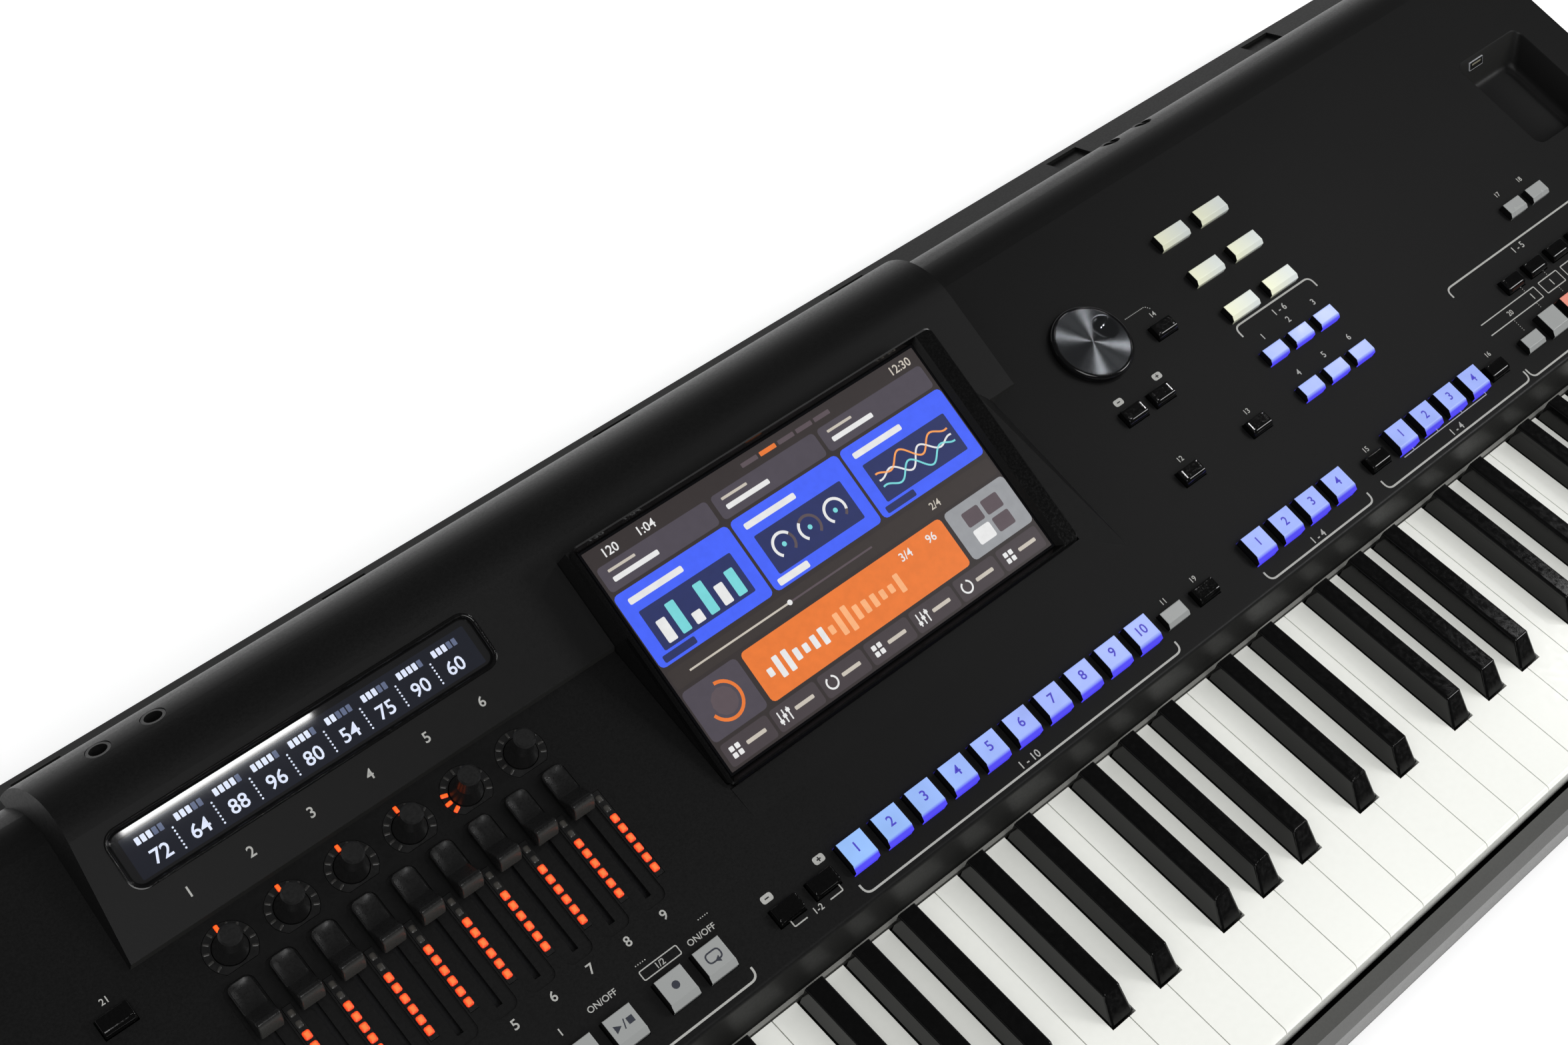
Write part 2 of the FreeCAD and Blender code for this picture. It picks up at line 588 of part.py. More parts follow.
def panel_cuts():
    """Every hole in the control panel, in the panel's own frame."""
    low = -d.wall - d.overrun
    high = d.overrun
    cuts = []
    for _, kind, x, row in button_places():
        width, depth, _, _ = BUTTON_KINDS[kind]
        cuts.append(middle_block(x, row, width + 2 * d.run_gap, depth + 2 * d.run_gap, low, high))
    for n in range(SLIDERS):
        cuts.append(middle_block(slider_x(n), track_middle, d.slider_slot_width, track_run + 2 * d.run_gap,
                                 low, high))
        cuts.append(rounded_plate(slider_x(n), d.channel_start + d.channel_run / 2, d.channel_width,
                                  d.channel_run, d.channel_round, -d.channel_depth, high))
        cuts.append(lamp_strip(n, d.seat_gap, low, high))
    for n in range(KNOBS):
        cuts.append(ring_plate(knob_x(n), d.seat_gap, low, high))
    for x, row in dials[KNOBS:]:
        cuts.append(rod(d.shaft_radius + d.run_gap, high - low, V(x, row, low)))
    return cuts


def lamp_strip(n, grow, z_from, z_to):
    """The lamp strip beside a slider."""
    return middle_block(slider_x(n) + at.lamp_offset, d.lamp_start + d.lamp_run / 2,
                        d.lamp_width + 2 * grow, d.lamp_run + 2 * grow, z_from, z_to)


usb_left = right_x - d.usb_inset - d.usb_width
usb_middle = (usb_left + d.usb_width / 2, d.usb_start + d.usb_run / 2)
usb_far = d.usb_start + d.usb_run


def usb_tray():
    """The recess below the panel as a tray, and the room inside it, both in the panel's own frame."""
    outer = rounded_plate(*usb_middle, d.usb_width + 2 * d.wall, d.usb_run + 2 * d.wall,
                          d.usb_round + d.wall, -d.usb_depth - d.wall, -d.wall)
    inner = rounded_plate(*usb_middle, d.usb_width, d.usb_run, d.usb_round, -d.usb_depth, d.overrun)
    mouth = socket_box(d.seat_gap, d.overrun + d.wall)
    return outer, inner.fuse(mouth)


def socket_box(grow, length):
    """The flat socket's outline through the tray's far wall, in the panel's own frame."""
    x = usb_left + d.socket_inset
    mid = -d.usb_depth / 2
    return block(x - d.socket_width / 2 - grow, x + d.socket_width / 2 + grow, usb_far, usb_far + length,
                 mid - d.socket_height / 2 - grow, mid + d.socket_height / 2 + grow)


def rest_frame(x):
    """Placement of a music rest socket: its mouth under the hood's crest or the roll-off, leaning back."""
    lean = math.radians(d.rest_lean)
    axis = V(0, math.sin(lean), math.cos(lean))
    if at.hood_left < x < at.hood_right:
        radius = d.hood_crest_radius
        sink = radius - math.sqrt(radius ** 2 - d.rest_collar_radius ** 2)
        top = hood_crest(0)[1] + axis * radius
    else:
        angle = roll_end * d.rest_arc_share
        sink = d.rest_collar_radius * math.tan(angle - lean)
        top = on_roll(d.roll_radius, angle)
    return FreeCAD.Placement(top + X_AXIS * x - axis * sink, FreeCAD.Rotation(X_AXIS, -d.rest_lean))


rest_places = [middle + side * d.rest_pitch / 2 for middle in (at.rest_x, at.rest_far_x) for side in (-1, 1)]
rest_depth = d.rest_bore_length + d.wall


def rest_cuts():
    """The holes that the music rest sockets take in the top case and the hood."""
    cuts = []
    for x in rest_places:
        hole = rod(d.rest_collar_radius + d.seat_gap, 3 * rest_depth, V(0, 0, -2 * rest_depth))
        hole.Placement = rest_frame(x)
        cuts.append(hole)
    return cuts


def make_top_case():
    """Panel, fascia, rear roll-off and the recess tray as one moulding."""
    outer, foot_out, back_out = case_edges(0)
    inner, foot_in, back_in = case_edges(d.wall)
    closing = [Part.LineSegment(foot_out, foot_in).toShape(), Part.LineSegment(back_out, back_in).toShape()]
    shell = wire_prism(Part.__sortEdges__(outer + inner + closing), shell_left, shell_right)
    edge = long_edges(shell, lambda p: p.isEqual(V(p.x, lip.y, lip.z), d.wall / 2))
    shell = shell.makeFillet(d.lip_round, edge)
    tray, room = usb_tray()
    cuts = panel_cuts() + [room]
    for shape in cuts + [tray]:
        shape.Placement = panel_place.multiply(shape.Placement)
    shell = shell.fuse(tray)
    shell = shell.cut(all_of(cuts)).cut(screen_room()).cut(all_of(rest_cuts()))
    feature("top_case", shell.removeSplitter())


hood_face = math.radians(d.hood_angle)


def hood_crest(depth):
    """Where the hood's face starts, the middle of its crest and its rear foot, all taken in by a depth."""
    back = V(0, math.sin(roll_end), math.cos(roll_end)) * (d.hood_rear_cover - depth)
    rear_low = rear_foot + back
    rear_way = V(0, -math.cos(roll_end), math.sin(roll_end))
    face_way = V(0, math.cos(hood_face), math.sin(hood_face))
    face_start = hood_origin + V(0, math.sin(hood_face), -math.cos(hood_face)) * depth
    face_start = face_start + face_way * (depth / math.cos(hood_face))
    normal = V(0, -face_way.z, face_way.y)
    reach = (face_start - rear_low).dot(normal) / rear_way.dot(normal)
    corner = rear_low + rear_way * reach
    radius = d.hood_crest_radius - depth
    away = radius * math.tan((roll_end + hood_face) / 2)
    return face_start, corner - face_way * away - normal * radius, rear_low


def hood_edges(depth):
    """The hood's outline over the panel, taken in by a depth."""
    face_start, centre, rear_low = hood_crest(depth)
    radius = d.hood_crest_radius - depth
    crest_from, crest_top, crest_to = [centre + V(0, math.sin(turn), math.cos(turn)) * radius
                                       for turn in (-hood_face, (roll_end - hood_face) / 2, roll_end)]
    base_rear = V(0, rear_low.y - (fascia_foot.z - rear_low.z) / math.tan(roll_end), rear_low.z)
    base_front = V(0, face_start.y, base_rear.z)
    return [Part.LineSegment(base_front, face_start).toShape(),
            Part.LineSegment(face_start, crest_from).toShape(),
            Part.Arc(crest_from, crest_top, crest_to).toShape(),
            Part.LineSegment(crest_to, base_rear).toShape(),
            Part.LineSegment(base_rear, base_front).toShape()]


def make_hood():
    """The raised hood behind the screen and under the live display, standing on the panel."""
    full = wire_prism(hood_edges(0), at.hood_left, at.hood_right)
    room = wire_prism(hood_edges(d.wall), at.hood_left + d.hood_end_lean + d.wall, at.hood_right - d.wall)
    tall = d.lip_height + d.overall_depth
    lean_side = [V(at.hood_left - d.overrun, 0, hood_front.z), V(at.hood_left, 0, hood_front.z),
                 V(at.hood_left + d.hood_end_lean, 0, hood_front.z + d.roll_radius),
                 V(at.hood_left + d.hood_end_lean, 0, tall), V(at.hood_left - d.overrun, 0, tall)]
    lean_face = Part.Face(Part.makePolygon([V(p.x, lip_y, p.z) for p in lean_side + lean_side[:1]]))
    lean_cut = lean_face.extrude(V(0, d.overall_depth, 0))
    under = case_volume(at.hood_left - d.overrun, at.hood_right + d.overrun, 0)
    window = rounded_plate(at.oled_left + at.oled_width / 2, d.oled_start + d.oled_depth / 2,
                           at.oled_width, d.oled_depth, d.oled_round, -d.wall - d.overrun, d.overrun)
    window.Placement = hood_place
    hood = full.cut(lean_cut).cut(under).cut(room).cut(window).cut(screen_room()).cut(all_of(rest_cuts()))
    solids = sorted(hood.Solids, key=lambda s: s.Volume)
    feature("display_hood", solids[-1].removeSplitter())


def make_screen():
    """Bezel, housing, glass and modules of the screen, and the live display's glass and module."""
    glass_half = d.screen_width / 2 + d.glass_margin
    glass_near = d.screen_tall / 2 + d.glass_margin
    slab = bezel_box(0, bezel_under, d.bezel_rise)
    upright = [e for e in slab.Edges if abs(e.tangentAt(e.FirstParameter).z) > math.cos(slope)]
    slab = slab.makeFillet(d.bezel_round, upright)
    window = block(-glass_half, glass_half, -glass_near, glass_near, bezel_under - d.overrun, d.bezel_rise)
    low = Part.makePolygon(plan_corners(glass_half, glass_near, 0))
    high = Part.makePolygon(plan_corners(glass_half + d.bezel_slope, glass_near + d.bezel_slope,
                                         d.bezel_rise))
    flare = Part.makeLoft([low, high], True, True)
    rim = [e for e in slab.Edges if e.CenterOfMass.z > d.bezel_rise - d.seat_gap]
    slab = slab.makeChamfer(d.bezel_slope / 2, rim)
    feature("screen_bezel", slab.cut(window).cut(flare), screen_place)

    frame = housing_box(0, housing_under, bezel_under)
    hollow = housing_box(-d.wall, housing_under - d.overrun, bezel_under + d.overrun)
    housing = frame.cut(hollow)
    housing.Placement = screen_place
    feature("screen_housing", all_of([housing, make_skirt()]))

    gap = d.seat_gap
    glass = block(-glass_half + gap, glass_half - gap, -glass_near + gap, glass_near - gap,
                  -d.glass_thickness, 0)
    lens = rounded_plate(at.oled_left + at.oled_width / 2, d.oled_start + d.oled_depth / 2,
                         at.oled_width - 2 * gap,
                         d.oled_depth - 2 * gap, d.oled_round - gap, -d.oled_sink - d.oled_glass,
                         -d.oled_sink)
    glass.Placement = screen_place
    lens.Placement = hood_place
    feature("display_glass", all_of([glass, lens]))

    module = block(-glass_half + gap, glass_half - gap, -glass_near + gap, glass_near - gap,
                   -d.glass_thickness - d.module_thickness, -d.glass_thickness)
    back = middle_block(at.oled_left + at.oled_width / 2, d.oled_start + d.oled_depth / 2,
                        at.oled_width - 2 * d.oled_round, d.oled_depth - 2 * d.wall,
                        -d.oled_sink - d.oled_glass - d.oled_module_depth, -d.oled_sink - d.oled_glass)
    module.Placement = screen_place
    back.Placement = hood_place
    feature("display_modules", all_of([module, back]))


def plan_corners(half_width, half_depth, z):
    """A closed rectangle about the origin at a height."""
    corners = [V(-half_width, -half_depth, z), V(half_width, -half_depth, z),
               V(half_width, half_depth, z), V(-half_width, half_depth, z)]
    return corners + corners[:1]


def make_skirt():
    """A ramp from the panel up to the bezel, in front of it and on its right."""
    rise = V(0, 0, d.skirt_rise)
    near_left = screen_place.multVec(V(-d.bezel_left, -d.bezel_front, 0) + rise)
    near_right = screen_place.multVec(V(d.bezel_right, -d.bezel_front, 0) + rise)
    hood_reach = (hood_front.y - near_left.y) / math.cos(math.radians(d.screen_angle))
    far = V(0, hood_reach * math.cos(math.radians(d.screen_angle)),
            hood_reach * math.sin(math.radians(d.screen_angle)))
    top = [near_left, near_right, near_right + far, near_left + far]

    def on_panel(x, y):
        return V(x, y, d.lip_height + (y - lip_y) * math.tan(slope))

    base_near = near_left.y - d.skirt_front_run
    side_x = near_right.x + d.skirt_side_run
    base = [on_panel(near_left.x, base_near), on_panel(side_x, base_near),
            on_panel(side_x, hood_front.y), on_panel(near_left.x, hood_front.y)]
    sides = [[base[n], base[n - 1], top[n - 1], top[n]] for n in (0, 1, 3)]
    sides += [[base[1], base[2], top[2]], [base[1], top[2], top[1]]]
    faces = [Part.Face(Part.makePolygon(corners + corners[:1])) for corners in [base, top] + sides]
    ramp = Part.makeSolid(Part.makeShell(faces)).cut(screen_room())
    solids = sorted(ramp.Solids, key=lambda s: s.Volume)
    return solids[-1].removeSplitter()


def end_outline(top_height):
    """The side view of the case, from the floor over the end block, the panel and the rear ledge."""
    edges, foot_in, foot_back = case_edges(0)
    block_back = V(0, lip.y - d.fascia_lean * (lip.z - top_height) / (lip.z - fascia_foot.z), top_height)
    lip_edge = Part.LineSegment(block_back, lip).toShape()
    points = [foot_back, V(0, rear_y, d.rear_ledge_back_height), V(0, rear_y, floor_z),
              V(0, front_y, floor_z),
              V(0, front_y, top_height), block_back]
    lines = [Part.LineSegment(a, b).toShape() for a, b in zip(points, points[1:])]
    return [lip_edge] + edges[1:] + lines


def make_end(label, x_skin, x_block, holes):
    """One end moulding: the outer plate and the block beside the keys."""
    skin_from = min(x_skin, x_skin + d.end_skin * math.copysign(1, -x_skin))
    skin = wire_prism(end_outline(d.end_height), skin_from, skin_from + d.end_skin)
    inner = skin_from + d.end_skin if x_skin < 0 else skin_from
    x_low = min(inner, x_block)
    x_high = max(inner, x_block)
    back_y = fascia_foot.y - d.seat_gap
    body = block(x_low, x_high, front_y, back_y, floor_z, d.end_height)
    hollow = block(x_low + (d.wall if x_skin > 0 else 0), x_high - (d.wall if x_skin < 0 else 0),
                   front_y + d.wall, back_y - d.wall, floor_z - d.overrun, d.end_height - d.wall)
    solid = skin.fuse(body.cut(hollow)).removeSplitter()
    nose = long_edges(solid, lambda p: p.isEqual(V(p.x, front_y, d.end_height), d.wall / 2))
    solid = solid.makeFillet(d.end_front_round, nose)
    for hole in holes:
        solid = solid.cut(hole)
    for shape in add_to_end.get(label, ()):
        solid = solid.fuse(shape)
    feature(label, solid.removeSplitter())


stick_pivot = V(left_x + d.stick_inset, key_front_y + d.stick_setback, d.end_height - d.stick_sink)
yoke_inner = d.stick_ball_radius + d.yoke_room
yoke_outer = yoke_inner + d.yoke_thickness
bearing_face = yoke_outer + d.run_gap
add_to_end = {}


def bearing(side):
    """A wall of the left end that carries one pin of the gimbal."""
    x_near = stick_pivot.x + side * bearing_face
    x_far = x_near + side * (d.yoke_pin_length + d.wall)
    wall = block(min(x_near, x_far), max(x_near, x_far), stick_pivot.y - d.yoke_tall,
                 stick_pivot.y + d.yoke_tall,
                 stick_pivot.z - d.yoke_tall, d.end_height - d.wall)
    pin_hole = rod(d.yoke_pin_radius + d.pin_gap, d.yoke_pin_length + d.run_gap,
                   V(x_near, stick_pivot.y, stick_pivot.z),
                   V(side, 0, 0))
    return wall.cut(pin_hole)


def make_joystick():
    """Dome with its shaft and grip, hung in a gimbal ring by two pairs of pins."""
    dome = Part.makeSphere(d.stick_ball_radius, stick_pivot)
    below = block(*[stick_pivot.x + s * yoke_outer for s in (-1, 1)],
                  *[stick_pivot.y + s * yoke_outer for s in (-1, 1)],
                  stick_pivot.z - yoke_outer, stick_pivot.z - d.yoke_tall / 2)
    shaft = rod(d.stick_radius, d.stick_tall - d.stick_grip_tall, stick_pivot)
    grip = rod(d.stick_grip_radius, d.stick_grip_tall,
               stick_pivot + V(0, 0, d.stick_tall - d.stick_grip_tall))
    rims = [e for e in grip.Edges if isinstance(e.Curve, Part.Circle)]
    grip = grip.makeFillet(d.yoke_pin_radius, rims)
    reach = yoke_inner + d.yoke_thickness / 2
    pins = [rod(d.yoke_pin_radius, reach, stick_pivot, V(0, s, 0)) for s in (-1, 1)]
    feature("joystick", dome.cut(below).fuse([shaft, grip] + pins).removeSplitter())

    low = stick_pivot - V(0, 0, d.yoke_tall / 2)
    ring = rod(yoke_outer, d.yoke_tall, low).cut(rod(yoke_inner, d.yoke_tall, low))
    bore = rod(d.yoke_pin_radius + d.pin_gap, 2 * yoke_outer, stick_pivot - V(0, yoke_outer, 0), Y_AXIS)
    arms = [rod(d.yoke_pin_radius, d.yoke_pin_length + d.yoke_thickness / 2,
                stick_pivot + V(s * (yoke_outer - d.yoke_thickness / 2), 0, 0),
                V(s, 0, 0)) for s in (-1, 1)]
    feature("joystick_gimbal", ring.cut(bore).fuse(arms).removeSplitter())


def make_ends():
    """The two end mouldings, the left one with the joystick's opening and bearings."""
    dome_there = math.sqrt(d.stick_ball_radius ** 2 - (d.stick_sink - d.wall) ** 2)
    opening = rod(dome_there + d.run_gap, 2 * d.stick_ball_radius, stick_pivot)
    add_to_end["left_end"] = [bearing(-1), bearing(1)]
    make_end("left_end", left_x, key_left_x - d.white_gap, [opening])
    make_end("right_end", right_x, key_right_x + d.white_gap, [])


# Bodies drawn as sketches: every corner is bound to the sheet
def bound(value):
    """The number that a sheet expression gives."""
    return float(sheet.evalExpression(value))


def sketch_body(name, role, corners):
    """A body with one closed sketch of straight lines; its corners are rules that read the sheet."""
    body = doc.addObject("PartDesign::Body", name)
    plane = next(f for f in body.Origin.OriginFeatures if f.Role == role)
    sketch = body.newObject("Sketcher::SketchObject", name + "_outline")
    sketch.AttachmentSupport = [(plane, "")]
    sketch.MapMode = "FlatFace"
    points = [V(bound(a.replace("~", "")), bound(b.replace("~", "")), 0) for a, b in corners]
    for start, finish in zip(points, points[1:] + points[:1]):
        sketch.addGeometry(Part.LineSegment(start, finish), False)
    for line in range(len(corners)):
        sketch.addConstraint(Sketcher.Constraint("Coincident", line, 2, (line + 1) % len(corners), 1))
    for line, (across, up) in enumerate(corners):
        tie_corner(sketch, line, across, up)
    return body, sketch


def tie_corner(sketch, line, across, up):
    """Ties a line's start to the origin: on an axis for a zero, else by a distance bound to the sheet."""
    for kind, axis, rule in (("DistanceX", -2, across), ("DistanceY", -1, up)):
        if rule == "0":
            sketch.addConstraint(Sketcher.Constraint("PointOnObject", line, 1, axis))
        else:
            value = bound(rule.replace("~", ""))
            place = sketch.addConstraint(Sketcher.Constraint(kind, -1, 1, line, 1, value))
            sketch.setExpression(f"Constraints[{place}]", rule.replace("~", "Sizes."))


def padded_body(label, corners, length, place):
    """A side-view sketch on the Y-Z plane, padded along X by a sheet rule."""
    body, sketch = sketch_body(label, "YZ_Plane", corners)
    pad = body.newObject("PartDesign::Pad", label + "_length")
    pad.Profile = sketch
    pad.Length = bound(length.replace("~", ""))
    pad.setExpression("Length", length.replace("~", "Sizes."))
    body.Placement = place
    return keep(label, body)


def turned_body(label, corners, place):
    """A half outline on the X-Z plane, turned about the upright axis."""
    body, sketch = sketch_body(label, "XZ_Plane", corners)
    turn = body.newObject("PartDesign::Revolution", label + "_turn")
    turn.Profile = sketch
    turn.ReferenceAxis = (sketch, ["V_Axis"])
    turn.Angle = math.degrees(math.tau)
    body.Placement = place
    return body


def make_bottom_case():
    """Floor, rear wall and rear ledge as one folded profile; holes for the sockets in the rear wall."""
    outer = [V(0, front_y, d.foot_height), V(0, rear_y, d.foot_height),
             V(0, rear_y, d.rear_ledge_back_height),
             V(0, rear_foot.y, rear_foot.z), V(0, rear_foot.y - d.rear_flange_depth, rear_foot.z)]
    ledge_way = (outer[3] - outer[2]).normalize()
    ledge_in = V(0, ledge_way.z, -ledge_way.y) * -d.wall
    rear_in = rear_y - d.wall
    low_base = outer[2] + ledge_in
    corner_low = low_base + ledge_way * ((rear_in - low_base.y) / ledge_way.y)
    corner_high = low_base + ledge_way * ((rear_foot.z - d.wall - low_base.z) / ledge_way.z)
    inner = [V(0, outer[4].y, rear_foot.z - d.wall), corner_high, corner_low, V(0, rear_in, floor_z),
             V(0, front_y, floor_z)]
    case = prism(outer + inner, shell_left, shell_right)
    case = case.fuse(block(left_x, right_x, front_y, rear_y, d.foot_height, floor_z))
    cuts = socket_holes() + ledge_pockets(outer[3], outer[2])
    feature("bottom_case", case.cut(all_of(cuts)).removeSplitter())


def ledge_pockets(upper, lower):
    """The shallow pockets along the rear ledge, between its upper and its lower edge."""
    run = upper.distanceToPoint(lower)
    angle = math.degrees(math.atan2(lower.z - upper.z, lower.y - upper.y))
    pockets = []
    for share in POCKET_SHARES:
        pocket = middle_block(0, run / 2, d.pocket_width, run - 2 * d.pocket_margin, -d.pocket_depth,
                              d.overrun)
        pocket.Placement = FreeCAD.Placement(upper + V(share * d.overall_length, 0, 0),
                                             FreeCAD.Rotation(X_AXIS, angle))
        pockets.append(pocket)
    return pockets


jack_places = [V(at.jack_x + n * at.jack_pitch, rear_y, d.jack_height) for n in range(JACKS)]
host_places = [V(at.host_x + n * at.host_pitch, rear_y, d.jack_height) for n in range(HOSTS)]
inlet_place = V(at.inlet_x, rear_y, d.jack_height)


def wall_box(place, width, height, y_from, y_to):
    """A box in the rear wall about a socket's place."""
    return block(place.x - width / 2, place.x + width / 2, y_from, y_to, place.z - height / 2,
                 place.z + height / 2)


def socket_holes():
    """What the sockets take out of the rear wall."""
    deep = rear_y - d.wall - d.overrun
    holes = [rod(d.jack_collar_radius + d.seat_gap, d.wall + 2 * d.overrun, V(p.x, deep, p.z), Y_AXIS)
             for p in jack_places]
    gap = 2 * d.seat_gap
    holes += [wall_box(p, d.socket_width + gap, d.socket_height + gap, deep, rear_y + d.overrun)
              for p in host_places]
    holes.append(wall_box(inlet_place, d.inlet_width + gap, d.inlet_height + gap, deep, rear_y + d.overrun))
    return holes


def make_sockets():
    """Audio jacks with their plug bores, data sockets, the power inlet and the flat socket of the recess."""
    inside = rear_y - d.wall
    solids = []
    for p in jack_places:
        collar = rod(d.jack_collar_radius, d.wall, V(p.x, inside, p.z), Y_AXIS)
        body = wall_box(p, d.jack_body_width, d.jack_body_width, inside - d.jack_body_length, inside)
        bore = rod(d.jack_bore_radius, d.jack_bore_length, V(p.x, rear_y - d.jack_bore_length, p.z), Y_AXIS)
        solids.append(collar.fuse(body).cut(bore).removeSplitter())
    for p in host_places:
        shell = wall_box(p, d.socket_width, d.socket_height, rear_y - d.socket_length, rear_y)
        mouth = wall_box(p, d.socket_slot_width, d.socket_slot_height, rear_y - d.socket_slot_length,
                         rear_y)
        solids.append(shell.cut(mouth))
    shell = wall_box(inlet_place, d.inlet_width, d.inlet_height, inside - d.inlet_length, rear_y)
    mouth = wall_box(inlet_place, d.inlet_pocket_width, d.inlet_pocket_height,
                     rear_y - d.inlet_pocket_length, rear_y)
    solids.append(shell.cut(mouth))
    flat = socket_box(0, d.socket_length)
    x_mid = flat.CenterOfMass.x
    z_mid = flat.CenterOfMass.z
    mouth = block(x_mid - d.socket_slot_width / 2, x_mid + d.socket_slot_width / 2, usb_far,
                  usb_far + d.socket_slot_length,
                  z_mid - d.socket_slot_height / 2, z_mid + d.socket_slot_height / 2)
    flat = flat.cut(mouth)
    flat.Placement = panel_place
    solids.append(flat)
    feature("sockets", all_of(solids))


# Room between the two end mouldings, as a rule that reads the sheet
KEY_ROOM = "~overall_length - ~left_end_width - ~right_end_width"


def make_rail():
    """The front rail in front of the keys: an angle with a bevelled front edge."""
    corners = [("0", "0"), ("~wall", "0"), ("~wall", "~rail_height - ~foot_height - 2 * ~wall"),
               ("~rail_depth", "~rail_height - ~foot_height - 2 * ~wall"),
               ("~rail_depth", "~rail_height - ~foot_height - ~wall"),
               ("~rail_bevel_depth", "~rail_height - ~foot_height - ~wall"),
               ("0", "~rail_height - ~foot_height - ~wall - ~rail_bevel_height")]
    place = FreeCAD.Placement(V(key_left_x, front_y, floor_z), FreeCAD.Rotation())
    padded_body("front_rail", corners, KEY_ROOM, place)


felt_top_z = d.key_top_height - d.white_height - d.key_dip - d.run_gap
felt_seat_z = felt_top_z - d.felt_thickness


def make_keybed():
    """Key frame with its hinge rail and key stop, and the felts."""
    frame_foot = "~foot_height + ~wall"
    seat = "~key_top_height - ~white_height - ~key_dip - ~run_gap - ~felt_thickness - (" + frame_foot + ")"
    rail_top = "~key_top_height - ~tail_drop - ~tail_height - ~pivot_gap - (" + frame_foot + ")"
    far = "~pivot_setback + ~tail_overhang"
    corners = [("~frame_front_setback", "0"), (far, "0"), (far, rail_top), ("~pivot_setback", rail_top),
               ("~pivot_setback", "~frame_sheet"), ("~stop_setback + ~stop_depth", "~frame_sheet"),
               ("~stop_setback + ~stop_depth", seat), ("~stop_setback", seat),
               ("~stop_setback", "~frame_sheet"),
               ("~frame_front_setback", "~frame_sheet")]
    place = FreeCAD.Placement(V(key_left_x, key_front_y, floor_z), FreeCAD.Rotation())
    padded_body("key_frame", corners, KEY_ROOM, place)

    stop_felt = block(key_left_x, key_right_x, key_front_y + d.stop_setback,
                      key_front_y + d.stop_setback + d.stop_depth, felt_seat_z, felt_top_z)
    strip_top = d.key_top_height - d.strip_drop
    strip_back = fascia_foot.y
    strip = block(key_left_x, key_right_x, strip_back - d.strip_depth, strip_back,
                  strip_top - d.strip_height, strip_top)
    feature("key_felts", all_of([stop_felt, strip]))


# Keys: one group of solids for each note of the octave
NOTES = ("c", "c_sharp", "d", "d_sharp", "e", "f", "f_sharp", "g", "g_sharp", "a", "a_sharp", "b")
WHITE_NOTES = ("c", "d", "e", "f", "g", "a", "b")
FIRST_WHITE = WHITE_NOTES.index("e")
BLACK_SIDES = {"c_sharp": -1, "d_sharp": 1, "f_sharp": -1, "g_sharp": 0, "a_sharp": 1}


def black_joint(note):
    """The white note whose right-hand joint a black key stands on."""
    return WHITE_NOTES.index(note[0])


def black_x(note, joint_x):
    return joint_x + BLACK_SIDES[note] * black_offset


def white_note(n):
    return WHITE_NOTES[(n + FIRST_WHITE) % len(WHITE_NOTES)]


def black_after(n):
    """The black key on the right-hand joint of white key n, if there is one."""
    note = white_note(n) + "_sharp"
    return note if note in BLACK_SIDES and 0 <= n < WHITE_KEYS - 1 else None


def joint_x(n):
    return key_left_x + (n + 1) * white_pitch


def white_key(n):
    """A white key: a hollow cap with a rounded nose, cut away beside the black keys, and its tail."""
    x_from = joint_x(n - 1) + d.white_gap / 2
    x_to = joint_x(n) - d.white_gap / 2
    y_back = key_front_y + d.white_length
    top = d.key_top_height
    cap = block(x_from, x_to, key_front_y, y_back, top - d.white_height, top)
    nose = [e for e in cap.Edges if e.CenterOfMass.isEqual(V((x_from + x_to) / 2, key_front_y, top),
                                                           d.white_gap)]
    cap = cap.makeFillet(d.white_nose_round, nose)
    notch_y = key_front_y + d.black_front_setback - d.black_front_gap
    half = black_width / 2 + d.black_gap
    stem_from = x_from
    stem_to = x_to
    if black_after(n - 1):
        stem_from = black_x(black_after(n - 1), joint_x(n - 1)) + half
        cap = cap.cut(block(x_from - d.overrun, stem_from, notch_y, y_back + d.overrun,
                            tail_foot_z - d.overall_depth, top + d.overrun))
    if black_after(n):
        stem_to = black_x(black_after(n), joint_x(n)) - half
        cap = cap.cut(block(stem_to, x_to + d.overrun, notch_y, y_back + d.overrun,
                            tail_foot_z - d.overall_depth, top + d.overrun))
    hollow = block(x_from + d.white_skin, x_to - d.white_skin, key_front_y + d.white_skin,
                   notch_y - d.white_skin,
                   top - d.white_height - d.overrun, top - d.white_skin)
    under = block(x_from - d.overrun, x_to + d.overrun, notch_y, y_back + d.overrun,
                  top - d.white_height - d.overrun, tail_foot_z)
    middle = (stem_from + stem_to) / 2
    tail = block(middle - tail_width / 2, middle + tail_width / 2, y_back - d.overrun,
                 pivot_y + d.tail_overhang,
                 tail_foot_z, tail_top_z)
    return cap.cut(hollow).cut(under).fuse(tail).removeSplitter()


